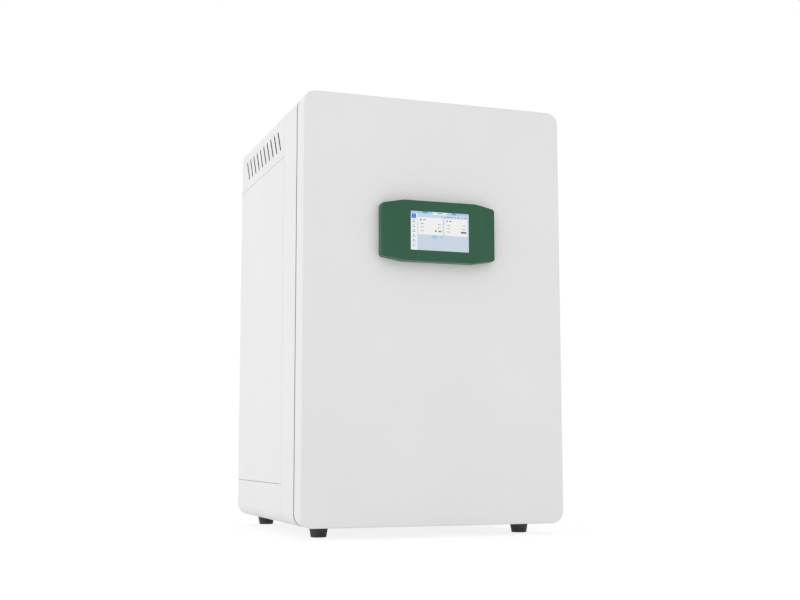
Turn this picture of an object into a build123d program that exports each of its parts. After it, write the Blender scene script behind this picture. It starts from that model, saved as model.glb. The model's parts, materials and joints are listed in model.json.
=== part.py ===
from build123d import *
from math import cos, radians, tan
import os

# Carbon dioxide incubator: an insulated outer door, an inner glass door and a steel chamber.
# Millimetres. X runs to the right, Y from the door to the back, Z up. The origin lies on the floor,
# under the middle of the overall box. The cabinet is sized from the chamber outwards.

os.makedirs("parts", exist_ok=True)

# General clearances
fit = 0.3
running = 0.05
sheet = 1.5

# Chamber
chamber_width = 430.0
chamber_height = 620.0
chamber_depth = 445.5
cove_radius = 22.0
liner_sheet = 1.2
heater_gap = 2.0

# Insulation and the air gap round it
side_insulation = 46.3
floor_insulation = 70.3
ceiling_insulation = 46.8
rear_insulation = 41.8
side_gap = 14.0

# Cabinet
frame_thickness = 12.0
base_plate_thickness = 3.0
deck_sheet = 1.5
bay_height = 114.0
corner_radius = 25.0
roll_radius = 3.0
roll_lip = 1.0
front_casing_depth = 105.0
hood_height = 103.0
base_height = 81.0
panel_gap = 0.8
lip_length = 12.0

# Vent slots in the hood, leaning back at the top
slot_count = 10
slot_pitch = 33.5
slot_length = 54.5
slot_width = 7.5
slot_lean = 30.0
slot_drop = 59.0
slot_rear_inset = 65.5

# Feet
foot_height = 22.0
foot_top_diameter = 39.0
foot_bottom_diameter = 31.0
foot_side_inset = 61.0
foot_front_inset = 36.0
foot_back_inset = 32.0
foot_screw_diameter = 8.0

# Outer door
door_thickness = 48.0
door_gap = 4.0
door_sheet = 1.5
door_edge_round = 2.0
dish_depth = 12.0
dish_draft = 20.0
dish_margin = 4.0
gasket_inset = 24.0
gasket_width = 12.0
door_open = 110.0

# Outer door hinges
hinge_side_inset = 11.0
hinge_back_inset = 20.0
hinge_end_inset = 60.0
lug_radius = 9.0
lug_thickness = 6.0
lug_clearance = 1.0
hinge_pin_diameter = 8.0
hinge_pin_grip = 16.0
bracket_sheet = 3.0
bracket_height = 56.0
bracket_inner_margin = 14.0
bracket_screw_spacing = 36.0
bracket_screw_diameter = 5.0
bracket_screw_head = 9.0
hinge_block_width = 34.0

# Display on the door
display_width = 246.0
display_height = 123.0
display_end_height = 107.5
display_shoulder = 74.5
display_fold = 87.0
display_proud = 24.5
display_end_proud = 17.0
display_corner = 7.0
display_wall = 2.5
display_centre_height = 588.3
screen_width = 126.0
screen_height = 79.2
screen_lip = 1.0
screen_glass = 1.8
screen_overlap = 3.0
cable_hole_diameter = 24.0

# Inner glass door
glass_thickness = 5.0
glass_overlap = 13.0
glass_clearance = 4.0
inner_gasket_thickness = 3.8
inner_gasket_width = 9.0
knuckle_radius = 3.5
glass_pin_diameter = 3.0
glass_pivot_margin = 3.0
glass_pivot_proud = 4.0
glass_hinge_inset = 90.0
leaf_knuckle = 15.0
base_knuckle = 12.0
leaf_width = 28.0
handle_height = 90.0
handle_inset = 4.0
handle_width = 24.0
handle_sheet = 2.0
handle_grip_proud = 14.0
handle_grip_width = 10.0
handle_grip_margin = 8.0
catch_gap = 4.0

# Racks and shelves
rack_sheet = 1.5
rack_stud = 4.0
rack_foot = 30.0
rack_head = 60.0
upright_front_inset = 18.0
upright_back_inset = 10.0
stud_end_inset = 25.0
stud_radius = 3.0
stud_base_radius = 5.0
stud_head_radius = 4.5
stud_head_height = 1.5
keyhole_drop = 12.0
upright_width = 20.0
runner_leg = 12.0
runner_height = 16.0
shelf_count = 3
shelf_first_height = 100.0
shelf_pitch = 140.0
shelf_setback = 50.0
shelf_sheet = 1.2
shelf_rim = 10.0
shelf_back_gap = 8.0
shelf_columns = 6
shelf_rows = 13
shelf_slot_width = 10.0
shelf_web = 14.0
shelf_end_margin = 18.0

# Humidity pan
pan_height = 32.0
pan_side_margin = 5.0
pan_back_gap = 58.8
pan_draft = 5.0
pan_rim = 6.0

# Air circulation
fan_setback = 40.0
shaft_diameter = 8.0
impeller_radius = 48.0
impeller_height = 18.0
blade_count = 9
blade_sheet = 1.4
shroud_drop = 32.0
shroud_half_width = 110.0
shroud_length = 110.0
shroud_intake_radius = 44.0
duct_half_width = 100.0
duct_depth = 18.0
duct_sheet = 1.2
filter_radius = 66.0
filter_height = 34.0
sleeve_radius = 9.0
motor_radius = 38.0
motor_height = 50.0

# Sensors, port and gas
sensor_side_inset = 65.0
sensor_y = 110.0
sensor_radius = 12.0
sensor_reach = 18.0
sensor_head_height = 36.0
probe_side_inset = 65.0
probe_y = 60.0
probe_radius = 2.5
probe_reach = 40.0
gland_radius = 8.0
gland_height = 12.0
port_side_inset = 65.0
port_height = 470.0
port_bore = 40.0
port_wall = 2.5
port_collar = 3.0
port_collar_radius = 30.0
plug_length = 36.0
plug_head = 9.0
plug_grip = 12.5
gas_side_inset = 90.0
gas_height = 20.0
gas_tube_diameter = 6.0
gas_outlet_x = 80.0
gas_bore = 3.0
gas_thread_diameter = 10.0
gas_thread_length = 10.0
gas_hexagon_radius = 9.0
gas_hexagon_height = 5.0
barb_count = 3
barb_pitch = 4.0
barb_root_diameter = 6.4
barb_crest_diameter = 8.8
valve_back_inset = 60.0
valve_length = 40.0
valve_width = 30.0
valve_height = 20.0
coil_radius = 12.0
coil_height = 28.0

# Rear services
service_height = 62.0
entry_side_inset = 120.0
entry_width = 88.0
entry_height = 26.0
entry_depth = 24.0
entry_rim = 4.0
entry_flange = 2.0
entry_pitch = 28.0
fuse_offset = 4.0
fuse_width = 12.0
fuse_height = 22.0
socket_width = 24.0
socket_height = 17.0
socket_depth = 20.0
blade_reach = 11.0
rocker_throw = 24.0
rocker_radius = 10.0
rocker_width = 12.6
rocker_inset = 5.0
trunnion_radius = 1.5
trunnion_length = 2.0
back_screw_count = 4
back_screw_head = 8.0
back_vent_length = 60.0
back_vent_width = 5.0
back_vent_rows = 4
back_vent_pitch = 12.0

# Electronics on the deck
control_width = 180.0
control_depth = 130.0
control_side_inset = 24.5
control_front_inset = 76.3
control_board_sheet = 1.6
control_spacer = 10.0
supply_width = 180.0
supply_depth = 98.0
supply_height = 42.0
supply_side_inset = 34.5
supply_front_inset = 62.3
supply_vent_count = 7

# Stations along the depth, front to back
rear_reach = port_collar + plug_head + plug_grip
cabinet_depth = (frame_thickness + chamber_depth + liner_sheet + heater_gap
                 + rear_insulation + side_gap + sheet)
total_depth = display_proud + door_thickness + door_gap + cabinet_depth + rear_reach
door_front_y = display_proud - total_depth / 2
door_back_y = door_front_y + door_thickness
cabinet_front_y = door_back_y + door_gap
cabinet_back_y = cabinet_front_y + cabinet_depth
casing_seam_y = cabinet_front_y + front_casing_depth
frame_back_y = cabinet_front_y + frame_thickness
board_front_y = frame_back_y + liner_sheet
chamber_back_y = frame_back_y + chamber_depth
board_back_y = cabinet_back_y - sheet - side_gap
glass_back_y = frame_back_y - inner_gasket_thickness
glass_front_y = glass_back_y - glass_thickness
duct_front_y = chamber_back_y - duct_depth
shelf_front_y = glass_back_y + shelf_setback
shelf_back_y = duct_front_y - shelf_back_gap
pan_depth = chamber_back_y - pan_back_gap - shelf_front_y - 2 * pan_rim
upright_y = (shelf_front_y + upright_front_inset, shelf_back_y - upright_back_inset)
valve_y = (
    cabinet_back_y - valve_back_inset - valve_length, cabinet_back_y - valve_back_inset
)
fan_y = fan_setback

# Stations across the width
board_inner_x = chamber_width / 2 + liner_sheet + heater_gap
board_outer_x = board_inner_x + side_insulation
cabinet_width = 2 * (board_outer_x + side_gap + sheet)
inside_x = cabinet_width / 2 - sheet
rack_inner_x = chamber_width / 2 - rack_stud - rack_sheet
port_x = chamber_width / 2 - port_side_inset
probe_x = chamber_width / 2 - probe_side_inset
sensor_x = sensor_side_inset - chamber_width / 2
gas_x = cabinet_width / 2 - gas_side_inset
entry_x = entry_side_inset - cabinet_width / 2
socket_x = entry_x - entry_pitch
fuse_x = entry_x + fuse_offset
rocker_x = entry_x + entry_pitch

# Stations up the height
cabinet_bottom_z = foot_height
plate_top_z = cabinet_bottom_z + sheet + base_plate_thickness
chamber_floor_z = plate_top_z + floor_insulation + heater_gap + liner_sheet
chamber_top_z = chamber_floor_z + chamber_height
chamber_mid_z = (chamber_floor_z + chamber_top_z) / 2
floor_board_top_z = chamber_floor_z - liner_sheet - heater_gap
ceiling_board_z = chamber_top_z + liner_sheet + heater_gap
deck_z = ceiling_board_z + ceiling_insulation
deck_top_z = deck_z + deck_sheet
cabinet_top_z = deck_top_z + bay_height + sheet
cabinet_height = cabinet_top_z - cabinet_bottom_z
cabinet_mid_z = (cabinet_bottom_z + cabinet_top_z) / 2
hood_bottom_z = cabinet_top_z - hood_height
base_top_z = cabinet_bottom_z + base_height
display_z = cabinet_bottom_z + display_centre_height
service_z = deck_top_z + service_height
port_z = chamber_floor_z + port_height
gas_z = deck_top_z + gas_height

# Sizes shared by pieces that meet
inner_radius = corner_radius - sheet
return_depth = side_gap - 2
glass_width = chamber_width + 2 * glass_overlap
glass_height = chamber_height + 2 * glass_overlap
mouth_width = glass_width + 2 * glass_clearance
mouth_height = glass_height + 2 * glass_clearance
gasket_outer = (cabinet_width - 2 * gasket_inset, cabinet_height - 2 * gasket_inset)
gasket_inner = (gasket_outer[0] - 2 * gasket_width, gasket_outer[1] - 2 * gasket_width)
gasket_corner = 16.0
dish_size = (gasket_inner[0] - 2 * dish_margin, gasket_inner[1] - 2 * dish_margin)
dish_corner = 26.0
hinge_x = cabinet_width / 2 - hinge_side_inset
hinge_y = door_back_y - hinge_back_inset
hinge_heights = (cabinet_bottom_z + hinge_end_inset, cabinet_top_z - hinge_end_inset)
glass_pivot_x = glass_width / 2 + glass_pivot_margin
glass_pivot_y = cabinet_front_y - glass_pivot_proud
glass_hinge_heights = (chamber_floor_z + glass_hinge_inset, chamber_top_z - glass_hinge_inset)
shelf_heights = [chamber_floor_z + shelf_first_height + shelf_pitch * i for i in range(shelf_count)]
rack_low_z = chamber_floor_z + rack_foot
rack_high_z = shelf_heights[-1] + rack_head
stud_places = [
    (y, z) for y in upright_y for z in (rack_low_z + stud_end_inset, rack_high_z - stud_end_inset)
]
foot_centres = [
    (side * (cabinet_width / 2 - foot_side_inset), y)
    for y in (cabinet_front_y + foot_front_inset, cabinet_back_y - foot_back_inset)
    for side in (-1, 1)
]


def front_view(y, z=0.0):
    """Plane facing the user at depth y: local x is X, local y is Z, extrusions run to the front."""
    return Plane(origin=(0, y, z), x_dir=(1, 0, 0), z_dir=(0, -1, 0))


def side_view(x):
    """Plane facing +X: local x is Y, local y is Z, extrusions run to +X."""
    return Plane.YZ.offset(x)


def block(x, y, z, mode=Mode.ADD):
    """Box between a low and a high limit on each axis, given in any order."""
    centre = tuple((limits[0] + limits[1]) / 2 for limits in (x, y, z))
    with Locations(centre):
        Box(abs(x[1] - x[0]), abs(y[1] - y[0]), abs(z[1] - z[0]), mode=mode)


def frame_ring(plane, outer, inner, amount, mode=Mode.ADD):
    """Flat ring between two rounded rectangles, each given as (width, height, corner)."""
    with BuildSketch(plane) as profile:
        RectangleRounded(*outer)
        RectangleRounded(*inner, mode=Mode.SUBTRACT)
    extrude(profile.sketch, amount=amount, mode=mode)


def plate(plane, size, amount, mode=Mode.ADD):
    """Plate with rounded corners, its size given as (width, height, corner)."""
    with BuildSketch(plane) as profile:
        RectangleRounded(*size)
    extrude(profile.sketch, amount=amount, mode=mode)


def casing_space(back_y, inset):
    """Cabinet outline with its front edge rolled in, drawn inwards on every side by the inset."""
    with BuildPart() as space:
        plate(
            front_view(back_y, cabinet_mid_z),
            (cabinet_width - 2 * inset, cabinet_height - 2 * inset, corner_radius - inset),
            back_y - cabinet_front_y - inset,
        )
        fillet(space.faces().sort_by(Axis.Y)[0].edges(), radius=roll_radius - inset)
    return space.part


def coved_box(growth):
    """Chamber space with rounded corners all round but at its mouth, grown by a wall."""
    with BuildPart() as box:
        plate(
            front_view(chamber_back_y + growth, chamber_mid_z),
            (chamber_width + 2 * growth, chamber_height + 2 * growth, cove_radius + growth),
            chamber_depth + growth,
        )
        fillet(box.faces().sort_by(Axis.Y)[-1].edges(), radius=cove_radius - 1 + growth)
    return box.part


def lug_space():
    """Cut the notches in which the hinge lugs stand while the door swings past them."""
    past = radians(door_open - 90)
    front = lug_radius / cos(past) + hinge_side_inset * tan(past) + 1.5
    half = lug_thickness / 2 + lug_clearance
    for z in hinge_heights:
        block(
            (hinge_x - lug_radius - 1.5, cabinet_width),
            (hinge_y - front, door_back_y + door_gap),
            (z - half, z + half),
            mode=Mode.SUBTRACT,
        )


def foot_holes(centres):
    """Drill the clearance holes of the foot screws through the casing and the plate on it."""
    with Locations([(x, y, cabinet_bottom_z) for x, y in centres]):
        Cylinder(foot_screw_diameter / 2 + fit, 4 * base_plate_thickness, mode=Mode.SUBTRACT)


def ceiling_holes():
    """Drill the holes of the fan sleeve, the sensors and the gas outlet through the ceiling."""
    openings = (
        (0, fan_y, sleeve_radius),
        (sensor_x, sensor_y, sensor_radius),
        (probe_x, probe_y, probe_radius),
        (gas_outlet_x, sensor_y, gas_tube_diameter / 2),
    )
    for x, y, radius in openings:
        with BuildSketch(Plane.XY.offset(chamber_top_z - liner_sheet)) as profile:
            with Locations((x, y)):
                Circle(radius + fit)
        extrude(profile.sketch, amount=deck_top_z - chamber_top_z + 3, mode=Mode.SUBTRACT)


def port_hole():
    """Drill the hole of the access port through the rear wall."""
    with BuildSketch(front_view(cabinet_back_y + sheet)) as profile:
        with Locations((port_x, port_z)):
            Circle(port_bore / 2 + port_wall + fit)
    extrude(
        profile.sketch,
        amount=cabinet_back_y + 2 * sheet - chamber_back_y,
        mode=Mode.SUBTRACT,
    )


# Front casing: the ring behind the door, rolled in at the front, lipped to carry the casings behind
casing_back_y = casing_seam_y - panel_gap / 2
casing_outside = casing_space(casing_back_y, 0)
casing_inside = casing_space(casing_back_y, sheet)
roll_inset = roll_radius + roll_lip
lip_inner = (
    2 * (inside_x - fit - sheet),
    cabinet_height - 4 * sheet - 2 * fit,
    inner_radius - fit - sheet,
)
with BuildPart() as front_casing:
    add(casing_outside)
    add(casing_inside, mode=Mode.SUBTRACT)
    plate(
        front_view(frame_back_y, cabinet_mid_z),
        (
            cabinet_width - 2 * roll_inset,
            cabinet_height - 2 * roll_inset,
            corner_radius - roll_inset,
        ),
        frame_thickness,
        mode=Mode.SUBTRACT,
    )
    frame_ring(
        front_view(casing_seam_y - panel_gap / 2, cabinet_mid_z),
        (cabinet_width - 2 * sheet, cabinet_height - 2 * sheet, inner_radius),
        lip_inner,
        lip_length,
    )
    frame_ring(
        front_view(casing_seam_y + lip_length, cabinet_mid_z),
        (2 * (inside_x - fit), cabinet_height - 2 * sheet - 2 * fit, inner_radius - fit),
        lip_inner,
        lip_length + panel_gap,
    )
    block(
        (-cabinet_width / 2 + corner_radius - fit, cabinet_width / 2 - corner_radius + fit),
        (frame_back_y, casing_seam_y + 2 * lip_length),
        (cabinet_bottom_z + sheet, plate_top_z + fit),
        mode=Mode.SUBTRACT,
    )
    foot_holes(foot_centres[:2])
front_casing.part.label = "front_casing"
export_step(front_casing.part, "parts/front_casing.step")

# Top hood: an upturned channel with slanted vent slots through both sides
with BuildPart() as top_hood:
    frame_ring(
        front_view(cabinet_back_y, cabinet_mid_z),
        (cabinet_width, cabinet_height, corner_radius),
        (cabinet_width - 2 * sheet, cabinet_height - 2 * sheet, inner_radius),
        cabinet_back_y - casing_seam_y - panel_gap / 2,
    )
    block(
        (-cabinet_width, cabinet_width),
        (cabinet_front_y, cabinet_back_y + sheet),
        (0, hood_bottom_z + panel_gap / 2),
        mode=Mode.SUBTRACT,
    )
    for side in (-1, 1):
        block(
            (side * (inside_x - return_depth), side * (inside_x + sheet / 2)),
            (casing_seam_y + lip_length + sheet, cabinet_back_y - sheet - lip_length),
            (hood_bottom_z + panel_gap / 2, hood_bottom_z + panel_gap / 2 + sheet),
        )
    slot_centres = [
        (cabinet_back_y - slot_rear_inset - slot_pitch * i, cabinet_top_z - slot_drop)
        for i in range(slot_count)
    ]
    with BuildSketch(side_view(0)):
        with Locations(slot_centres):
            SlotOverall(slot_length, slot_width, rotation=90 - slot_lean)
    extrude(amount=cabinet_width, both=True, mode=Mode.SUBTRACT)
top_hood.part.label = "top_hood"
export_step(top_hood.part, "parts/top_hood.step")

# Base casing: the channel under the side panels
with BuildPart() as base_casing:
    frame_ring(
        front_view(cabinet_back_y, cabinet_mid_z),
        (cabinet_width, cabinet_height, corner_radius),
        (cabinet_width - 2 * sheet, cabinet_height - 2 * sheet, inner_radius),
        cabinet_back_y - casing_seam_y - panel_gap / 2,
    )
    block(
        (-cabinet_width, cabinet_width),
        (cabinet_front_y, cabinet_back_y + sheet),
        (base_top_z - panel_gap / 2, cabinet_top_z + sheet),
        mode=Mode.SUBTRACT,
    )
    for side in (-1, 1):
        block(
            (side * (inside_x - return_depth), side * (inside_x + sheet / 2)),
            (casing_seam_y + lip_length + sheet, cabinet_back_y - sheet - lip_length),
            (base_top_z - panel_gap / 2 - sheet, base_top_z - panel_gap / 2),
        )
    foot_holes(foot_centres[2:])
base_casing.part.label = "base_casing"
export_step(base_casing.part, "parts/base_casing.step")

# Side panels: flat covers with folded edges above and below
for side, label in ((-1, "left_side_panel"), (1, "right_side_panel")):
    low = base_top_z + panel_gap / 2
    high = hood_bottom_z - panel_gap / 2
    with BuildPart() as side_panel:
        block(
            (side * inside_x, side * cabinet_width / 2),
            (casing_seam_y + panel_gap / 2, cabinet_back_y),
            (low, high),
        )
        for z in (low, high - sheet):
            block(
                (side * (inside_x - return_depth), side * (inside_x + sheet / 2)),
                (casing_seam_y + lip_length + sheet, cabinet_back_y - sheet - lip_length),
                (z, z + sheet),
            )
    side_panel.part.label = label
    export_step(side_panel.part, f"parts/{label}.step")

# Base plate that carries the boards, with the tapped holes of the feet
with BuildPart() as base_plate:
    block(
        (-cabinet_width / 2 + corner_radius, cabinet_width / 2 - corner_radius),
        (frame_back_y, cabinet_back_y - sheet - lip_length),
        (cabinet_bottom_z + sheet, plate_top_z),
    )
    foot_holes(foot_centres)
base_plate.part.label = "base_plate"
export_step(base_plate.part, "parts/base_plate.step")

# Feet: tapered rubber, with a deep seat for the screw head
foot_seat_radius = foot_screw_diameter
foot_seat_depth = foot_height / 2
with BuildPart() as rubber_feet:
    for x, y in foot_centres:
        with BuildSketch(Plane(origin=(x, y, 0), x_dir=(1, 0, 0), z_dir=(0, -1, 0))) as foot_profile:
            with BuildLine():
                Polyline(
                    (foot_seat_radius, 0),
                    (foot_bottom_diameter / 2, 0),
                    (foot_top_diameter / 2, foot_height),
                    (foot_screw_diameter / 2 + fit, foot_height),
                    (foot_screw_diameter / 2 + fit, foot_seat_depth),
                    (foot_seat_radius, foot_seat_depth),
                    close=True,
                )
            make_face()
            lowest = foot_profile.vertices().group_by(Axis.Z)[0].sort_by(Axis.X)[-1:]
            rim = foot_profile.vertices().sort_by(Axis.X)[-1:] + lowest
            fillet(rim, radius=2)
        revolve(foot_profile.sketch, axis=Axis((x, y, 0), (0, 0, 1)))
rubber_feet.part.label = "rubber_feet"
export_step(rubber_feet.part, "parts/rubber_feet.step")

# Foot screws: pan heads in the seats, shanks up into the base plate
with BuildPart() as foot_screws:
    with Locations([(x, y, foot_seat_depth) for x, y in foot_centres]):
        Cylinder(
            foot_screw_diameter / 2,
            plate_top_z - foot_seat_depth - fit,
            align=(Align.CENTER, Align.CENTER, Align.MIN),
        )
        Cylinder(
            foot_seat_radius - 2 * fit,
            foot_seat_depth / 2,
            align=(Align.CENTER, Align.CENTER, Align.MAX),
        )
foot_screws.part.label = "foot_screws"
export_step(foot_screws.part, "parts/foot_screws.step")

# Front frame: stepped to stand inside the casing's roll, with pockets for the brackets and the catch
bracket_limits_x = (hinge_x - bracket_inner_margin, cabinet_width / 2 - roll_inset - fit)
bracket_screws = [
    (sum(bracket_limits_x) / 2, z + offset)
    for z in hinge_heights
    for offset in (-bracket_screw_spacing / 2, bracket_screw_spacing / 2)
]
magnet_width = 10.0
magnet_x = (-mouth_width / 2 - catch_gap - magnet_width, -mouth_width / 2 - catch_gap)
magnet_depth = 8.0
magnet_half_height = 20.0
frame_step = casing_space(frame_back_y, sheet + fit)
inside_outline = (
    2 * (inside_x - fit), cabinet_height - 2 * sheet - 2 * fit, inner_radius - fit
)
with BuildPart() as front_frame:
    add(frame_step)
    plate(
        front_view(frame_back_y, cabinet_mid_z),
        (
            cabinet_width - 2 * (roll_inset + fit),
            cabinet_height - 2 * (roll_inset + fit),
            corner_radius - roll_inset - fit,
        ),
        frame_thickness,
    )
    plate(
        front_view(frame_back_y, chamber_mid_z),
        (mouth_width, mouth_height, cove_radius),
        frame_thickness,
        mode=Mode.SUBTRACT,
    )
    for z in hinge_heights:
        half = bracket_height / 2 + fit
        block(
            (bracket_limits_x[0] - fit, bracket_limits_x[1] + 2 * fit),
            (cabinet_front_y - 1, cabinet_front_y + bracket_sheet + fit),
            (z - half, z + half),
            mode=Mode.SUBTRACT,
        )
    with BuildSketch(front_view(frame_back_y)) as screw_holes:
        with Locations(bracket_screws):
            Circle(bracket_screw_diameter / 2 + fit)
    extrude(screw_holes.sketch, amount=frame_thickness, mode=Mode.SUBTRACT)
    block(
        (magnet_x[0] - fit, magnet_x[1] + fit),
        (cabinet_front_y - 1, cabinet_front_y + magnet_depth + fit),
        (chamber_mid_z - magnet_half_height - fit, chamber_mid_z + magnet_half_height + fit),
        mode=Mode.SUBTRACT,
    )
front_frame.part.label = "front_frame"
export_step(front_frame.part, "parts/front_frame.step")

# Chamber liner: a coved stainless box with a flange round its mouth and studs for the racks
flange_overlap = 14.0
stud_shoulder = rack_stud + rack_sheet + fit
stud_steps = (
    (stud_base_radius, 0, rack_stud),
    (stud_radius, rack_stud, stud_shoulder),
    (stud_head_radius, stud_shoulder, stud_shoulder + stud_head_height),
)
chamber_space = coved_box(0)
liner_outside = coved_box(liner_sheet)
with BuildPart() as chamber_liner:
    add(liner_outside)
    frame_ring(
        front_view(board_front_y, chamber_mid_z),
        (mouth_width + 2 * flange_overlap, mouth_height + 2 * flange_overlap, cove_radius),
        (chamber_width, chamber_height, cove_radius),
        liner_sheet,
    )
    add(chamber_space, mode=Mode.SUBTRACT)
    for side in (-1, 1):
        for radius, low, high in stud_steps:
            with BuildSketch(side_view(side * (chamber_width / 2 - low))) as stud:
                with Locations(stud_places):
                    Circle(radius)
            extrude(stud.sketch, amount=-side * (high - low))
    ceiling_holes()
    port_hole()
chamber_liner.part.label = "chamber_liner"
export_step(chamber_liner.part, "parts/chamber_liner.step")

# Insulation boards: two sides, floor, ceiling and rear
for side, label in ((-1, "left_insulation"), (1, "right_insulation")):
    with BuildPart() as side_board:
        block(
            (side * board_inner_x, side * board_outer_x),
            (board_front_y, board_back_y),
            (plate_top_z, deck_z),
        )
        outer_edges = side_board.edges().filter_by(Axis.Y).sort_by(Axis.Z)[:2]
        fillet(outer_edges.sort_by(Axis.X)[0 if side < 0 else -1], radius=inner_radius)
    side_board.part.label = label
    export_step(side_board.part, f"parts/{label}.step")

with BuildPart() as floor_insulation_board:
    block(
        (-board_inner_x, board_inner_x),
        (board_front_y, board_back_y),
        (plate_top_z, floor_board_top_z),
    )
floor_insulation_board.part.label = "floor_insulation"
export_step(floor_insulation_board.part, "parts/floor_insulation.step")

with BuildPart() as ceiling_insulation_board:
    block(
        (-board_inner_x, board_inner_x),
        (board_front_y, board_back_y),
        (ceiling_board_z, deck_z),
    )
    ceiling_holes()
ceiling_insulation_board.part.label = "ceiling_insulation"
export_step(ceiling_insulation_board.part, "parts/ceiling_insulation.step")

with BuildPart() as rear_insulation_board:
    block(
        (-board_inner_x, board_inner_x),
        (board_back_y - rear_insulation, board_back_y),
        (floor_board_top_z, ceiling_board_z),
    )
    port_hole()
rear_insulation_board.part.label = "rear_insulation"
export_step(rear_insulation_board.part, "parts/rear_insulation.step")

# Heater pads bonded to the outside of the liner
pad = heater_gap - fit
pad_margin = cove_radius + 10
liner_outer_x = chamber_width / 2 + liner_sheet
pad_y = (frame_back_y + pad_margin, chamber_back_y - pad_margin)
pad_z = (chamber_floor_z + pad_margin, chamber_top_z - pad_margin)
pad_half_width = chamber_width / 2 - pad_margin
liner_back_y = chamber_back_y + liner_sheet
liner_floor_z = chamber_floor_z - liner_sheet
with BuildPart() as chamber_heaters:
    for side in (-1, 1):
        block((side * liner_outer_x, side * (liner_outer_x + pad)), pad_y, pad_z)
    block((-pad_half_width, pad_half_width), pad_y, (liner_floor_z - pad, liner_floor_z))
    block((-pad_half_width, port_x - port_bore), (liner_back_y, liner_back_y + pad), pad_z)
chamber_heaters.part.label = "chamber_heaters"
export_step(chamber_heaters.part, "parts/chamber_heaters.step")

# Equipment deck over the ceiling board
with BuildPart() as equipment_deck:
    block((-board_outer_x, board_outer_x), (board_front_y, board_back_y), (deck_z, deck_top_z))
    ceiling_holes()
equipment_deck.part.label = "equipment_deck"
export_step(equipment_deck.part, "parts/equipment_deck.step")

# Back panel: a flat cover with folded edges, cut out for the services and the port
with BuildPart() as back_panel:
    plate(front_view(cabinet_back_y, cabinet_mid_z), inside_outline, sheet)
    frame_ring(
        front_view(cabinet_back_y - sheet / 2, cabinet_mid_z), inside_outline, lip_inner, lip_length
    )
    port_hole()
    with BuildSketch(front_view(cabinet_back_y + sheet, service_z)):
        with Locations((entry_x, 0)):
            Rectangle(entry_width + 2 * fit, entry_height + 2 * fit)
        with Locations((gas_x, gas_z - service_z)):
            Circle(gas_thread_diameter / 2 + fit)
        with GridLocations(back_vent_length * 4 / 3, back_vent_pitch, 2, back_vent_rows):
            SlotOverall(back_vent_length, back_vent_width)
    extrude(amount=3 * sheet, mode=Mode.SUBTRACT)
back_panel.part.label = "back_panel"
export_step(back_panel.part, "parts/back_panel.step")

# Back panel screws: pan heads along both sides
screw_x = inside_x - fit - back_screw_head
screw_heights = [
    cabinet_bottom_z + 60 + (cabinet_height - 120) / (back_screw_count - 1) * i
    for i in range(back_screw_count)
]
with BuildPart() as back_panel_screws:
    for side in (-1, 1):
        for z in screw_heights:
            with BuildSketch(front_view(cabinet_back_y + 2.4)) as head:
                with Locations((side * screw_x, z)):
                    Circle(back_screw_head / 2)
            extrude(head.sketch, amount=2.4)
back_panel_screws.part.label = "back_panel_screws"
export_step(back_panel_screws.part, "parts/back_panel_screws.step")

# Inner gasket on the liner flange, which the glass door closes on
with BuildPart() as inner_gasket:
    frame_ring(
        front_view(frame_back_y, chamber_mid_z),
        (glass_width - 2, glass_height - 2, cove_radius),
        (
            glass_width - 2 - 2 * inner_gasket_width,
            glass_height - 2 - 2 * inner_gasket_width,
            cove_radius - 2,
        ),
        inner_gasket_thickness,
    )
inner_gasket.part.label = "inner_gasket"
export_step(inner_gasket.part, "parts/inner_gasket.step")

# Magnet that holds the glass door's handle shut
with BuildPart() as catch_magnet:
    block(
        magnet_x,
        (cabinet_front_y, cabinet_front_y + magnet_depth),
        (chamber_mid_z - magnet_half_height, chamber_mid_z + magnet_half_height),
    )
catch_magnet.part.label = "catch_magnet"
export_step(catch_magnet.part, "parts/catch_magnet.step")

# Outer door hinge brackets: a flange with countersunk screws and a lug that reaches the pin
pin_length = lug_thickness + 2 * hinge_pin_grip
bracket_head_depth = (bracket_screw_head - bracket_screw_diameter) / 2 - fit
lug_foot_x = (hinge_x - lug_radius, bracket_limits_x[1])
with BuildPart() as door_hinge_brackets:
    for z in hinge_heights:
        block(
            bracket_limits_x,
            (cabinet_front_y, cabinet_front_y + bracket_sheet),
            (z - bracket_height / 2, z + bracket_height / 2),
        )
        with BuildSketch(Plane.XY.offset(z - lug_thickness / 2)) as lug:
            with Locations((hinge_x, hinge_y)):
                Circle(lug_radius)
            with Locations((sum(lug_foot_x) / 2, (hinge_y + cabinet_front_y + bracket_sheet) / 2)):
                Rectangle(lug_foot_x[1] - lug_foot_x[0], cabinet_front_y + bracket_sheet - hinge_y)
            with Locations((hinge_x, hinge_y)):
                Circle(hinge_pin_diameter / 2 + running, mode=Mode.SUBTRACT)
        extrude(lug.sketch, amount=lug_thickness)
    with BuildSketch(front_view(cabinet_front_y + bracket_sheet)) as shank_holes:
        with Locations(bracket_screws):
            Circle(bracket_screw_diameter / 2 + fit)
    extrude(shank_holes.sketch, amount=bracket_sheet, mode=Mode.SUBTRACT)
    with BuildSketch(front_view(cabinet_front_y)) as countersinks:
        with Locations(bracket_screws):
            Circle(bracket_screw_head / 2)
    extrude(countersinks.sketch, amount=-bracket_head_depth, taper=45, mode=Mode.SUBTRACT)
    with BuildSketch(front_view(frame_back_y - fit)) as shanks:
        with Locations(bracket_screws):
            Circle(bracket_screw_diameter / 2)
    extrude(shanks.sketch, amount=frame_back_y - fit - cabinet_front_y)
    with BuildSketch(front_view(cabinet_front_y)) as heads:
        with Locations(bracket_screws):
            Circle(bracket_screw_head / 2 - fit)
    extrude(heads.sketch, amount=-bracket_head_depth, taper=45)
door_hinge_brackets.part.label = "door_hinge_brackets"
export_step(door_hinge_brackets.part, "parts/door_hinge_brackets.step")

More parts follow.
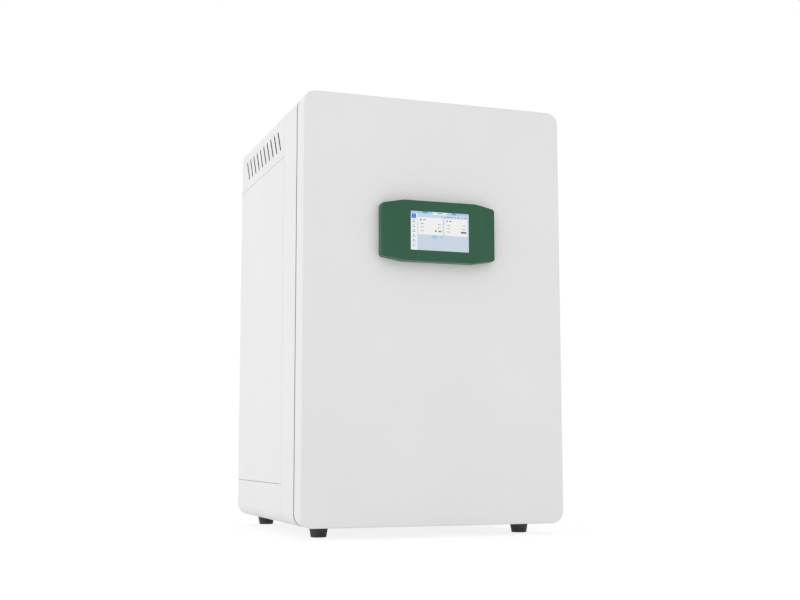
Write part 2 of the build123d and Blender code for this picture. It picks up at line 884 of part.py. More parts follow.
# Outer door shell: a painted steel tray, open to the back
with BuildPart() as door_shell:
    with BuildSketch(front_view(door_back_y, cabinet_mid_z)):
        RectangleRounded(cabinet_width, cabinet_height, corner_radius)
    extrude(amount=door_thickness)
    fillet(door_shell.faces().sort_by(Axis.Y)[0].edges(), radius=door_edge_round)
    with BuildSketch(front_view(door_back_y, cabinet_mid_z)):
        RectangleRounded(
            cabinet_width - 2 * door_sheet, cabinet_height - 2 * door_sheet, corner_radius - door_sheet
        )
    extrude(amount=door_thickness - door_sheet, mode=Mode.SUBTRACT)
    lug_space()
    with BuildSketch(front_view(door_back_y)):
        with Locations((0, display_z)):
            Circle(cable_hole_diameter / 2)
    extrude(amount=door_thickness, mode=Mode.SUBTRACT)
door_shell.part.label = "door_shell"
export_step(door_shell.part, "parts/door_shell.step")

# Door inner panel: fits the tray and is dished to clear the glass door's fittings
door_inner_x = cabinet_width / 2 - door_sheet
panel_outline = (
    2 * (door_inner_x - fit),
    cabinet_height - 2 * door_sheet - 2 * fit,
    corner_radius - door_sheet - fit,
)
with BuildPart() as door_inner_panel:
    with BuildSketch(front_view(door_back_y, cabinet_mid_z)):
        RectangleRounded(*panel_outline)
    extrude(amount=door_sheet)
    with BuildSketch(front_view(door_back_y, cabinet_mid_z)):
        RectangleRounded(dish_size[0] + 2 * door_sheet, dish_size[1] + 2 * door_sheet, dish_corner)
    extrude(amount=dish_depth + door_sheet, taper=dish_draft)
    with BuildSketch(front_view(door_back_y, cabinet_mid_z)):
        RectangleRounded(*dish_size, dish_corner - door_sheet)
    extrude(amount=dish_depth, taper=dish_draft, mode=Mode.SUBTRACT)
    lug_space()
door_inner_panel.part.label = "door_inner_panel"
export_step(door_inner_panel.part, "parts/door_inner_panel.step")

# Door insulation: fills the tray behind the panel, cut out for the dish and the hinge blocks
block_limits_x = (door_inner_x - fit - hinge_block_width, door_inner_x - fit)
block_half_height = lug_thickness / 2 + lug_clearance + hinge_pin_grip + 6
with BuildPart() as door_insulation:
    with BuildSketch(front_view(door_back_y - door_sheet, cabinet_mid_z)):
        RectangleRounded(*panel_outline)
    extrude(amount=door_thickness - 2 * door_sheet - fit)
    with BuildSketch(front_view(door_back_y, cabinet_mid_z)):
        RectangleRounded(
            dish_size[0] + 2 * door_sheet + 2 * fit,
            dish_size[1] + 2 * door_sheet + 2 * fit,
            dish_corner + fit,
        )
    extrude(amount=dish_depth + door_sheet + heater_gap, taper=dish_draft, mode=Mode.SUBTRACT)
    for z in hinge_heights:
        block(
            (block_limits_x[0] - fit, cabinet_width),
            (door_front_y, door_back_y),
            (z - block_half_height - fit, z + block_half_height + fit),
            mode=Mode.SUBTRACT,
        )
    with BuildSketch(front_view(door_back_y)):
        with Locations((0, display_z)):
            Circle(cable_hole_diameter / 2)
    extrude(amount=door_thickness, mode=Mode.SUBTRACT)
door_insulation.part.label = "door_insulation"
export_step(door_insulation.part, "parts/door_insulation.step")

# Door heater, bonded to the front of the dish
with BuildPart() as door_heater:
    with BuildSketch(front_view(door_back_y - dish_depth - door_sheet, cabinet_mid_z)):
        RectangleRounded(dish_size[0] - 40, dish_size[1] - 40, 10)
    extrude(amount=pad)
door_heater.part.label = "door_heater"
export_step(door_heater.part, "parts/door_heater.step")

# Door gasket: a magnetic bead on a flat base
with BuildPart() as door_gasket:
    frame_ring(
        front_view(door_back_y + 1.2, cabinet_mid_z),
        (*gasket_outer, gasket_corner),
        (*gasket_inner, gasket_corner - gasket_width + 4),
        1.2,
    )
    frame_ring(
        front_view(cabinet_front_y - fit, cabinet_mid_z),
        (gasket_outer[0] - 4, gasket_outer[1] - 4, gasket_corner - 2),
        (gasket_inner[0] + 4, gasket_inner[1] + 4, gasket_corner - gasket_width + 6),
        door_gap - fit - 1,
    )
door_gasket.part.label = "door_gasket"
export_step(door_gasket.part, "parts/door_gasket.step")

# Hinge blocks inside the door: bored for the pins, slotted for the lugs
with BuildPart() as door_hinge_blocks:
    for z in hinge_heights:
        block(
            block_limits_x,
            (door_front_y + door_sheet + fit, door_back_y - door_sheet),
            (z - block_half_height, z + block_half_height),
        )
    lug_space()
    for z in hinge_heights:
        with BuildSketch(Plane.XY.offset(z - pin_length / 2 - fit)) as bore:
            with Locations((hinge_x, hinge_y)):
                Circle(hinge_pin_diameter / 2 + running)
        extrude(bore.sketch, amount=pin_length + 2 * fit, mode=Mode.SUBTRACT)
door_hinge_blocks.part.label = "door_hinge_blocks"
export_step(door_hinge_blocks.part, "parts/door_hinge_blocks.step")


def display_outline(inset):
    """Eight-sided outline of the display housing, drawn inwards by the inset."""
    end_x = display_width / 2 - inset
    end_z = display_end_height / 2 - inset
    top_z = display_height / 2 - inset
    with BuildSketch(Plane.XY) as outline:
        with BuildLine():
            Polyline(
                (-end_x, -end_z),
                (-display_shoulder, -top_z),
                (display_shoulder, -top_z),
                (end_x, -end_z),
                (end_x, end_z),
                (display_shoulder, top_z),
                (-display_shoulder, top_z),
                (-end_x, end_z),
                close=True,
            )
        make_face()
        ends = outline.vertices().sort_by(Axis.X)
        fillet(ends[:2] + ends[-2:], radius=display_corner - inset)
    return outline.sketch


def display_plan(inset):
    """Plan of the housing seen from above: a flat middle and two faces that slant back."""
    end_x = display_width / 2 - inset
    with BuildSketch(Plane.XY) as plan:
        with BuildLine():
            Polyline(
                (-end_x, door_front_y),
                (-end_x, door_front_y - display_end_proud + inset),
                (-display_fold, door_front_y - display_proud + inset),
                (display_fold, door_front_y - display_proud + inset),
                (end_x, door_front_y - display_end_proud + inset),
                (end_x, door_front_y),
                close=True,
            )
        make_face()
    return plan.sketch


def display_solid(inset):
    """Housing solid: the outline carried through the depth, cut to the plan's facets."""
    outline = front_view(door_front_y, display_z) * display_outline(inset)
    plan = Plane.XY.offset(display_z - display_height / 2) * display_plan(inset)
    return extrude(outline, amount=display_proud + 1) & extrude(plan, amount=display_height)


# Display housing: a faceted, hollow moulding on the door's front
display_outside = display_solid(0)
display_inside = display_solid(display_wall)
with BuildPart() as display_housing:
    add(display_outside)
    front_edges = display_housing.edges().group_by(Axis.Y)[0].filter_by(Axis.X)
    fillet(front_edges, radius=1.5)
    add(display_inside, mode=Mode.SUBTRACT)
    with BuildSketch(front_view(door_front_y, display_z)):
        RectangleRounded(screen_width, screen_height, 1)
    extrude(amount=display_proud + 1, mode=Mode.SUBTRACT)
    with BuildSketch(front_view(door_front_y, display_z)):
        RectangleRounded(
            screen_width + 2 * screen_overlap + 2 * fit,
            screen_height + 2 * screen_overlap + 2 * fit,
            2,
        )
    extrude(amount=display_proud - screen_lip, mode=Mode.SUBTRACT)
display_housing.part.label = "display_housing"
export_step(display_housing.part, "parts/display_housing.step")

# Touch screen, behind the lip of the housing's window
with BuildPart() as display_screen:
    with BuildSketch(front_view(door_front_y - display_proud + screen_lip + screen_glass, display_z)):
        RectangleRounded(screen_width + 2 * screen_overlap, screen_height + 2 * screen_overlap, 2)
    extrude(amount=screen_glass)
display_screen.part.label = "display_screen"
export_step(display_screen.part, "parts/display_screen.step")

# Display board: the panel module behind the screen, on a board with four spacers to the door
board_thickness = 1.6
module_depth = 7.0
module_back_y = door_front_y - display_proud + screen_lip + screen_glass + module_depth
with BuildPart() as display_board:
    with BuildSketch(front_view(module_back_y, display_z)):
        RectangleRounded(screen_width + 2, screen_height + 2, 1)
    extrude(amount=module_depth)
    with BuildSketch(front_view(module_back_y + board_thickness, display_z)):
        Rectangle(screen_width + 12, screen_height + 12)
    extrude(amount=board_thickness)
    with BuildSketch(front_view(door_front_y, display_z)):
        with GridLocations(screen_width + 2, screen_height + 2, 2, 2):
            Circle(3)
    extrude(amount=door_front_y - module_back_y - board_thickness)
display_board.part.label = "display_board"
export_step(display_board.part, "parts/display_board.step")

# Inner glass door: the pane, bored for the hinge screws
leaf_outer_x = glass_width / 2 - 3
leaf_inner_x = leaf_outer_x - leaf_width
leaf_screw_x = leaf_inner_x + 8
glass_screw_radius = 2.5
with BuildPart() as glass_pane:
    with BuildSketch(front_view(glass_back_y, chamber_mid_z)):
        RectangleRounded(glass_width, glass_height, 12)
    extrude(amount=glass_thickness)
    with BuildSketch(front_view(glass_back_y)):
        with Locations([(leaf_screw_x, z + d) for z in glass_hinge_heights for d in (-10, 10)]):
            Circle(glass_screw_radius + fit)
    extrude(amount=glass_thickness, mode=Mode.SUBTRACT)
glass_pane.part.label = "glass_pane"
export_step(glass_pane.part, "parts/glass_pane.step")

# Glass door hinges: bases on the front frame, leaves on the glass, one pin each
base_outer_x = gasket_inner[0] / 2 - 2
base_sheet = 1.5
base_inner_x = glass_pivot_x + knuckle_radius + 0.5
with BuildPart() as glass_hinge_bases:
    for z in glass_hinge_heights:
        for low in (z - leaf_knuckle / 2 - 0.5 - base_knuckle, z + leaf_knuckle / 2 + 0.5):
            with BuildSketch(Plane.XY.offset(low)) as knuckle:
                with Locations((glass_pivot_x, glass_pivot_y)):
                    Circle(knuckle_radius)
                arm_x = (glass_pivot_x + base_inner_x + 1) / 2
                with Locations((arm_x, cabinet_front_y - base_sheet / 2)):
                    Rectangle(base_inner_x + 1 - glass_pivot_x, base_sheet)
                with Locations((glass_pivot_x, glass_pivot_y)):
                    Circle(glass_pin_diameter / 2 + running, mode=Mode.SUBTRACT)
            extrude(knuckle.sketch, amount=base_knuckle)
        half = leaf_knuckle / 2 + 0.5 + base_knuckle
        block(
            (base_inner_x, base_outer_x),
            (cabinet_front_y - base_sheet, cabinet_front_y),
            (z - half, z + half),
        )
glass_hinge_bases.part.label = "glass_hinge_bases"
export_step(glass_hinge_bases.part, "parts/glass_hinge_bases.step")

# Hinge pins: two for the outer door, two for the glass door
glass_pin_length = leaf_knuckle + 2 * base_knuckle
pins = [(hinge_x, hinge_y, z, hinge_pin_diameter, pin_length) for z in hinge_heights]
pins += [
    (glass_pivot_x, glass_pivot_y, z, glass_pin_diameter, glass_pin_length)
    for z in glass_hinge_heights
]
with BuildPart() as hinge_pins:
    for x, y, z, diameter, length in pins:
        with Locations((x, y, z)):
            Cylinder(diameter / 2, length)
hinge_pins.part.label = "hinge_pins"
export_step(hinge_pins.part, "parts/hinge_pins.step")

# Glass door hinge leaves: plates on the glass with a knuckle each and screws through the pane
leaf_sheet = 2.0
with BuildPart() as glass_hinge_leaves:
    for z in glass_hinge_heights:
        block(
            (leaf_inner_x, leaf_outer_x),
            (glass_front_y - leaf_sheet, glass_front_y),
            (z - leaf_knuckle - 2, z + leaf_knuckle + 2),
        )
        with BuildSketch(Plane.XY.offset(z - leaf_knuckle / 2)) as knuckle:
            with Locations((glass_pivot_x, glass_pivot_y)):
                Circle(knuckle_radius)
            with BuildLine():
                Polyline(
                    (glass_pivot_x, glass_pivot_y - knuckle_radius),
                    (glass_pivot_x, glass_pivot_y + knuckle_radius),
                    (leaf_outer_x - 2, glass_front_y - leaf_sheet / 2),
                    (leaf_inner_x + 6, glass_front_y - leaf_sheet / 2),
                    close=True,
                )
            make_face()
            with Locations((glass_pivot_x, glass_pivot_y)):
                Circle(glass_pin_diameter / 2 + running, mode=Mode.SUBTRACT)
        extrude(knuckle.sketch, amount=leaf_knuckle)
        with BuildSketch(front_view(glass_back_y)) as screws:
            with Locations((leaf_screw_x, z - 10), (leaf_screw_x, z + 10)):
                Circle(glass_screw_radius)
        extrude(screws.sketch, amount=glass_thickness)
glass_hinge_leaves.part.label = "glass_hinge_leaves"
export_step(glass_hinge_leaves.part, "parts/glass_hinge_leaves.step")

# Glass door handle: a plate on the glass, a grip and a steel tongue over the magnet
tongue_back_y = cabinet_front_y - fit
handle_x = handle_inset - glass_width / 2
grip_x = handle_x + handle_width - 0.9 * handle_grip_width
with BuildPart() as glass_handle:
    block(
        (handle_x, handle_x + handle_width),
        (glass_front_y - handle_sheet, glass_front_y),
        (chamber_mid_z - handle_height / 2, chamber_mid_z + handle_height / 2),
    )
    block(
        (handle_x, handle_x + 2 * handle_sheet),
        (tongue_back_y - base_sheet, glass_front_y),
        (chamber_mid_z - magnet_half_height, chamber_mid_z + magnet_half_height),
    )
    block(
        (magnet_x[0] + 2, handle_x + 2 * handle_sheet),
        (tongue_back_y - base_sheet, tongue_back_y),
        (chamber_mid_z - magnet_half_height, chamber_mid_z + magnet_half_height),
    )
    with BuildSketch(front_view(glass_front_y - handle_sheet / 2, chamber_mid_z)):
        with Locations((grip_x, 0)):
            RectangleRounded(
                handle_grip_width,
                handle_height - 2 * handle_grip_margin,
                0.4 * handle_grip_width,
            )
    extrude(amount=handle_grip_proud - handle_sheet / 2)
    fillet(glass_handle.faces().sort_by(Axis.Y)[0].edges(), radius=2.5)
glass_handle.part.label = "glass_handle"
export_step(glass_handle.part, "parts/glass_handle.step")

# Racks: two keyholed uprights a side, hung on the liner's studs, and a channel for each shelf
for side, label in ((-1, "left_rack"), (1, "right_rack")):
    with BuildPart() as rack:
        for y in upright_y:
            block(
                (side * rack_inner_x, side * (rack_inner_x + rack_sheet)),
                (y - upright_width / 2, y + upright_width / 2),
                (rack_low_z, rack_high_z),
            )
        for z in shelf_heights:
            with BuildSketch(front_view(shelf_back_y)) as channel:
                with Locations((side * (rack_inner_x + rack_sheet / 2), z)):
                    Rectangle(rack_sheet, runner_height)
                for edge in (-1, 1):
                    centre_x = side * (rack_inner_x + rack_sheet / 2 - runner_leg / 2)
                    with Locations((centre_x, z + edge * (runner_height - rack_sheet) / 2)):
                        Rectangle(runner_leg + rack_sheet, rack_sheet)
            extrude(channel.sketch, amount=shelf_back_y - shelf_front_y)
        with BuildSketch(side_view(side * rack_inner_x)) as keyholes:
            with Locations(stud_places):
                Circle(stud_radius + fit)
            with Locations([(y, z - keyhole_drop / 2) for y, z in stud_places]):
                Rectangle(2 * (stud_radius + fit), keyhole_drop)
            with Locations([(y, z - keyhole_drop) for y, z in stud_places]):
                Circle(stud_head_radius + fit)
        extrude(keyholes.sketch, amount=side * rack_sheet, mode=Mode.SUBTRACT)
    rack.part.label = label
    export_step(rack.part, f"parts/{label}.step")

# Shelves: perforated sheet with folded front and back rims, sliding in the racks' channels
shelf_half_width = rack_inner_x - 1.5
runner_top = rack_sheet - runner_height / 2
rim_half_width = rack_inner_x - runner_leg - 3
slot_pitch_x = 2 * rim_half_width / shelf_columns
slot_pitch_y = (shelf_back_y - shelf_front_y - 2 * shelf_end_margin) / shelf_rows
for index, level in enumerate(shelf_heights, start=1):
    low = level + runner_top + fit
    with BuildPart() as shelf:
        block(
            (-shelf_half_width, shelf_half_width),
            (shelf_front_y, shelf_back_y),
            (low, low + shelf_sheet),
        )
        for y in (shelf_front_y, shelf_back_y - shelf_sheet):
            block(
                (-rim_half_width, rim_half_width),
                (y, y + shelf_sheet),
                (low - shelf_rim, low + shelf_sheet / 2),
            )
        with BuildSketch(Plane.XY.offset(low)):
            with Locations((0, (shelf_front_y + shelf_back_y) / 2)):
                with GridLocations(slot_pitch_x, slot_pitch_y, shelf_columns, shelf_rows):
                    Rectangle(slot_pitch_x - shelf_web, shelf_slot_width)
        extrude(amount=shelf_sheet, mode=Mode.SUBTRACT)
    shelf.part.label = f"shelf_{index}"
    export_step(shelf.part, f"parts/shelf_{index}.step")

# Humidity pan on the chamber floor: drafted walls under a flat rim
pan_width = chamber_width - 2 * cove_radius - 2 * pan_side_margin
pan_centre_y = shelf_front_y + pan_depth / 2 + pan_rim
pan_corner = 18.0
pan_top = Plane.XY.offset(chamber_floor_z + fit + pan_height)
with BuildPart() as humidity_pan:
    with BuildSketch(pan_top):
        with Locations((0, pan_centre_y)):
            RectangleRounded(pan_width - 2 * pan_rim, pan_depth, pan_corner)
    extrude(amount=-pan_height, taper=pan_draft)
    with BuildSketch(pan_top):
        with Locations((0, pan_centre_y)):
            RectangleRounded(pan_width, pan_depth + 2 * pan_rim, pan_corner + pan_rim)
    extrude(amount=-shelf_sheet)
    with BuildSketch(pan_top):
        with Locations((0, pan_centre_y)):
            RectangleRounded(
                pan_width - 2 * pan_rim - 2 * shelf_sheet,
                pan_depth - 2 * shelf_sheet,
                pan_corner - shelf_sheet,
            )
    extrude(amount=-(pan_height - shelf_sheet), taper=pan_draft, mode=Mode.SUBTRACT)
humidity_pan.part.label = "humidity_pan"
export_step(humidity_pan.part, "parts/humidity_pan.step")

# Shaft sleeve through the ceiling, with a flange under the liner
with BuildPart() as shaft_sleeve:
    with BuildSketch(Plane.XY.offset(chamber_top_z)):
        with Locations((0, fan_y)):
            Circle(sleeve_radius)
    extrude(amount=deck_top_z - chamber_top_z)
    with BuildSketch(Plane.XY.offset(chamber_top_z - 2)):
        with Locations((0, fan_y)):
            Circle(sleeve_radius + 6)
    extrude(amount=2)
    with BuildSketch(Plane.XY.offset(chamber_top_z - 2)):
        with Locations((0, fan_y)):
            Circle(shaft_diameter / 2 + 1)
    extrude(amount=deck_top_z - chamber_top_z + 2, mode=Mode.SUBTRACT)
shaft_sleeve.part.label = "shaft_sleeve"
export_step(shaft_sleeve.part, "parts/shaft_sleeve.step")

# Fan motor on the deck, bored for the shaft
with BuildPart() as fan_motor:
    with BuildSketch(Plane.XY.offset(deck_top_z)):
        with Locations((0, fan_y)):
            Circle(motor_radius + 10)
    extrude(amount=4)
    with BuildSketch(Plane.XY.offset(deck_top_z)):
        with Locations((0, fan_y)):
            Circle(motor_radius)
    extrude(amount=motor_height)
    fillet(fan_motor.faces().sort_by(Axis.Z)[-1].edges(), radius=3)
    with BuildSketch(Plane.XY.offset(deck_top_z)):
        with Locations((0, fan_y)):
            Circle(shaft_diameter / 2 + running)
    extrude(amount=motor_height, mode=Mode.SUBTRACT)
fan_motor.part.label = "fan_motor"
export_step(fan_motor.part, "parts/fan_motor.step")

# Fan shaft and impeller: a hub, a back disc and curved blades
impeller_top_z = chamber_top_z - 4
impeller_low_z = impeller_top_z - impeller_height
with BuildPart() as fan_shaft:
    with BuildSketch(Plane.XY.offset(impeller_low_z)):
        with Locations((0, fan_y)):
            Circle(shaft_diameter / 2)
    extrude(amount=deck_top_z + motor_height + 4 - impeller_low_z)
fan_shaft.part.label = "fan_shaft"
export_step(fan_shaft.part, "parts/fan_shaft.step")

hub_radius = shaft_diameter / 2 + 6
with BuildPart() as impeller:
    with BuildSketch(Plane.XY.offset(impeller_top_z - blade_sheet)):
        with Locations((0, fan_y)):
            Circle(impeller_radius)
    extrude(amount=blade_sheet)
    with BuildSketch(Plane.XY.offset(impeller_low_z)):
        with Locations((0, fan_y)):
            Circle(hub_radius)
            with PolarLocations(0, blade_count):
                with BuildLine():
                    ThreePointArc(
                        (hub_radius - 1, 0),
                        (impeller_radius * 0.62, impeller_radius * 0.1),
                        (impeller_radius * 0.92, impeller_radius * 0.36),
                    )
                trace(line_width=blade_sheet)
    extrude(amount=impeller_height - blade_sheet / 2)
    with BuildSketch(Plane.XY.offset(impeller_low_z)):
        with Locations((0, fan_y)):
            Circle(shaft_diameter / 2 + running)
    extrude(amount=impeller_height, mode=Mode.SUBTRACT)
impeller.part.label = "impeller"
export_step(impeller.part, "parts/impeller.step")

# Fan shroud: a tray under the ceiling, open to the rear duct, with a round intake
shroud_low_z = chamber_top_z - shroud_drop
shroud_front_y = fan_y - shroud_length
side_end_y = chamber_back_y - cove_radius - 1
with BuildPart() as fan_shroud:
    block(
        (-shroud_half_width, shroud_half_width),
        (shroud_front_y, duct_front_y),
        (shroud_low_z, shroud_low_z + duct_sheet),
    )
    for side in (-1, 1):
        block(
            (side * shroud_half_width, side * (shroud_half_width - duct_sheet)),
            (shroud_front_y, side_end_y),
            (shroud_low_z, chamber_top_z - fit),
        )
    block(
        (-shroud_half_width, shroud_half_width),
        (shroud_front_y, shroud_front_y + duct_sheet),
        (shroud_low_z, chamber_top_z - fit),
    )
    with BuildSketch(Plane.XY.offset(shroud_low_z)):
        with Locations((0, fan_y)):
            Circle(shroud_intake_radius)
    extrude(amount=duct_sheet, mode=Mode.SUBTRACT)
fan_shroud.part.label = "fan_shroud"
export_step(fan_shroud.part, "parts/fan_shroud.step")

# Rear air duct: a channel on the rear wall with outlet slots at each shelf
duct_low_z = chamber_floor_z + cove_radius + 4
with BuildPart() as air_duct:
    block(
        (-duct_half_width, duct_half_width),
        (duct_front_y, duct_front_y + duct_sheet),
        (duct_low_z, shroud_low_z),
    )
    for side in (-1, 1):
        block(
            (side * duct_half_width, side * (duct_half_width - duct_sheet)),
            (duct_front_y, chamber_back_y),
            (duct_low_z, shroud_low_z),
        )
    outlets = [(x, z + 40) for z in shelf_heights for x in (-50, 50)]
    with BuildSketch(front_view(duct_front_y + duct_sheet)):
        with Locations(outlets):
            with GridLocations(0, 16, 1, 3):
                SlotOverall(60, 6)
    extrude(amount=duct_sheet, mode=Mode.SUBTRACT)
air_duct.part.label = "air_duct"
export_step(air_duct.part, "parts/air_duct.step")

# Filter capsule under the shroud: two caps and a ring of filter medium
filter_top_z = shroud_low_z
with BuildPart() as hepa_filter:
    with BuildSketch(Plane(origin=(0, fan_y, 0), x_dir=(1, 0, 0), z_dir=(0, -1, 0))):
        with BuildLine():
            Polyline(
                (shroud_intake_radius, filter_top_z),
                (filter_radius, filter_top_z),
                (filter_radius, filter_top_z - 4),
                (filter_radius - 3, filter_top_z - 4),
                (filter_radius - 3, filter_top_z - filter_height + 4),
                (filter_radius, filter_top_z - filter_height + 4),
                (filter_radius, filter_top_z - filter_height),
                (0, filter_top_z - filter_height),
                (0, filter_top_z - filter_height + 3),
                (shroud_intake_radius, filter_top_z - filter_height + 3),
                close=True,
            )
        make_face()
    revolve(axis=Axis((0, fan_y, 0), (0, 0, 1)))
hepa_filter.part.label = "hepa_filter"
export_step(hepa_filter.part, "parts/hepa_filter.step")

# Carbon dioxide sensor: its tip in the chamber, its head on the deck
with BuildPart() as co2_sensor:
    with BuildSketch(Plane.XY.offset(chamber_top_z - sensor_reach)):
        with Locations((sensor_x, sensor_y)):
            Circle(sensor_radius)
    extrude(amount=deck_top_z - chamber_top_z + sensor_reach)
    with BuildSketch(Plane.XY.offset(deck_top_z)):
        with Locations((sensor_x, sensor_y)):
            Circle(sensor_radius + 8)
    extrude(amount=sensor_head_height)
    fillet(co2_sensor.faces().sort_by(Axis.Z)[-1].edges(), radius=2)
co2_sensor.part.label = "co2_sensor"
export_step(co2_sensor.part, "parts/co2_sensor.step")

# Temperature probe with its gland on the deck
with BuildPart() as temperature_probe:
    with BuildSketch(Plane.XY.offset(chamber_top_z - probe_reach)):
        with Locations((probe_x, probe_y)):
            Circle(probe_radius)
    extrude(amount=deck_top_z - chamber_top_z + probe_reach)
    with BuildSketch(Plane.XY.offset(deck_top_z)):
        with Locations((probe_x, probe_y)):
            RegularPolygon(radius=gland_radius, side_count=6)
    extrude(amount=gland_height)
temperature_probe.part.label = "temperature_probe"
export_step(temperature_probe.part, "parts/temperature_probe.step")

# Access port: a tube through the rear wall with an outer collar, and its plug
port_outer = port_bore / 2 + port_wall
with BuildPart() as access_port:
    with BuildSketch(front_view(cabinet_back_y + port_collar)):
        with Locations((port_x, port_z)):
            Circle(port_collar_radius)
    extrude(amount=port_collar)
    with BuildSketch(front_view(cabinet_back_y + port_collar)):
        with Locations((port_x, port_z)):
            Circle(port_outer)
    extrude(amount=cabinet_back_y + port_collar - chamber_back_y)
    with BuildSketch(front_view(cabinet_back_y + port_collar)):
        with Locations((port_x, port_z)):
            Circle(port_bore / 2)
    extrude(amount=cabinet_back_y + port_collar - chamber_back_y, mode=Mode.SUBTRACT)
access_port.part.label = "access_port"
export_step(access_port.part, "parts/access_port.step")

plug_seat_y = cabinet_back_y + port_collar
with BuildPart() as port_plug:
    with BuildSketch(front_view(plug_seat_y)):
        with Locations((port_x, port_z)):
            Circle(port_bore / 2 - fit)
    extrude(amount=plug_length, taper=1)
    with BuildSketch(front_view(plug_seat_y + plug_head)):
        with Locations((port_x, port_z)):
            Circle(port_collar_radius - 3)
    extrude(amount=plug_head)
    with BuildSketch(front_view(plug_seat_y + plug_head + plug_grip)):
        with Locations((port_x, port_z)):
            SlotOverall(36, 9)
    extrude(amount=plug_grip)
port_plug.part.label = "port_plug"
export_step(port_plug.part, "parts/port_plug.step")

# Gas inlet: a thread through the back panel, a hexagon and a barbed tail, bored through
inlet_back_y = cabinet_back_y - gas_thread_length
barb_start_y = cabinet_back_y + gas_hexagon_height + 1
barb_end_y = barb_start_y + barb_count * barb_pitch
barb_line = [
    (gas_x + diameter / 2, barb_start_y + barb_pitch * (i + step))
    for i in range(barb_count)
    for step, diameter in ((0, barb_crest_diameter), (1, barb_root_diameter))
]
with BuildPart() as gas_inlet:
    with BuildSketch(Plane.XY.offset(gas_z)):
        with BuildLine():
            Polyline(
                (gas_x + gas_bore / 2, inlet_back_y),
                (gas_x + gas_thread_diameter / 2, inlet_back_y),
                (gas_x + gas_thread_diameter / 2, cabinet_back_y + gas_hexagon_height),
                (gas_x + barb_root_diameter / 2, cabinet_back_y + gas_hexagon_height),
                (gas_x + barb_root_diameter / 2, barb_start_y),
                *barb_line,
                (gas_x + gas_bore / 2, barb_end_y),
                close=True,
            )
        make_face()
    revolve(axis=Axis((gas_x, 0, gas_z), (0, 1, 0)))
    with BuildSketch(front_view(cabinet_back_y + gas_hexagon_height)) as hexagon:
        with Locations((gas_x, gas_z)):
            RegularPolygon(radius=gas_hexagon_radius, side_count=6)
            Circle(gas_thread_diameter / 2 - fit, mode=Mode.SUBTRACT)
    extrude(hexagon.sketch, amount=gas_hexagon_height)
gas_inlet.part.label = "gas_inlet"
export_step(gas_inlet.part, "parts/gas_inlet.step")

# Solenoid valve on a foot, with its coil on top
valve_foot_x = (gas_x - 0.4 * valve_width, gas_x + 0.4 * valve_width)
with BuildPart() as solenoid_valve:
    block(
        (gas_x - valve_width / 2, gas_x + valve_width / 2),
        valve_y,
        (gas_z - valve_height / 2, gas_z + valve_height / 2),
    )
    block(valve_foot_x, (valve_y[0] - 8, valve_y[1] + 8), (deck_top_z, deck_top_z + 2))
    block(valve_foot_x, (valve_y[0] + 5, valve_y[1] - 5), (deck_top_z, gas_z))
    with BuildSketch(Plane.XY.offset(gas_z + valve_height / 2)):
        with Locations((gas_x, sum(valve_y) / 2)):
            Circle(coil_radius)
    extrude(amount=coil_height)
solenoid_valve.part.label = "solenoid_valve"
export_step(solenoid_valve.part, "parts/solenoid_valve.step")

# Gas line: from the inlet to the valve, and from the valve down into the fan's plenum
with BuildPart() as gas_line:
    with BuildSketch(front_view(inlet_back_y, gas_z)) as inlet_tube:
        with Locations((gas_x, 0)):
            Circle(gas_tube_diameter / 2)
    extrude(inlet_tube.sketch, amount=inlet_back_y - valve_y[1])
    with BuildLine() as outlet_route:
        FilletPolyline(
            (gas_x, valve_y[0], gas_z),
            (gas_x, sensor_y, gas_z),
            (gas_outlet_x, sensor_y, gas_z),
            (gas_outlet_x, sensor_y, chamber_top_z - 4),
            radius=15,
        )
    with BuildSketch(front_view(valve_y[0], gas_z)) as outlet_section:
        with Locations((gas_x, 0)):
            Circle(gas_tube_diameter / 2)
    sweep(outlet_section.sketch, path=outlet_route.line)
gas_line.part.label = "gas_line"
export_step(gas_line.part, "parts/gas_line.step")

# Power entry: one flanged moulding with the inlet socket, a fuse drawer and the rocker's well
rocker_y = cabinet_back_y - rocker_inset
entry_face_y = cabinet_back_y + entry_flange
blade_places = [(socket_x + side * 0.3 * socket_width, -2) for side in (-1, 1)]
with BuildPart() as power_entry:
    plate(
        front_view(entry_face_y, service_z) * Pos(entry_x, 0),
        (entry_width + 2 * entry_rim, entry_height + 2 * entry_rim, entry_rim),
        entry_flange,
    )
    plate(
        front_view(cabinet_back_y, service_z) * Pos(entry_x, 0),
        (entry_width, entry_height, 1),
        entry_depth,
    )
    plate(
        front_view(entry_face_y, service_z) * Pos(socket_x, 0),
        (socket_width, socket_height, 2),
        socket_depth,
        mode=Mode.SUBTRACT,
    )
    with BuildSketch(front_view(entry_face_y - socket_depth + blade_reach, service_z)):
        with Locations(*blade_places, (socket_x, 3)):
            Rectangle(2, 4)
    extrude(amount=blade_reach + 1)
    plate(
        front_view(entry_face_y + entry_flange, service_z) * Pos(fuse_x, 0),
        (fuse_width, fuse_height, 1.5),
        entry_flange + 1,
    )
    with BuildSketch(front_view(entry_face_y, service_z)):
        with Locations((rocker_x, 0)):
            Rectangle(rocker_width + 2 * fit, 2 * rocker_radius + 2 * fit)
    extrude(amount=socket_depth, mode=Mode.SUBTRACT)
    with BuildSketch(side_view(rocker_x)) as trunnion_bore:
        with Locations((rocker_y, service_z)):
            Circle(trunnion_radius + running)
    extrude(
        trunnion_bore.sketch,
        amount=rocker_width / 2 + trunnion_length + fit,
        both=True,
        mode=Mode.SUBTRACT,
    )
power_entry.part.label = "power_entry"
export_step(power_entry.part, "parts/power_entry.step")

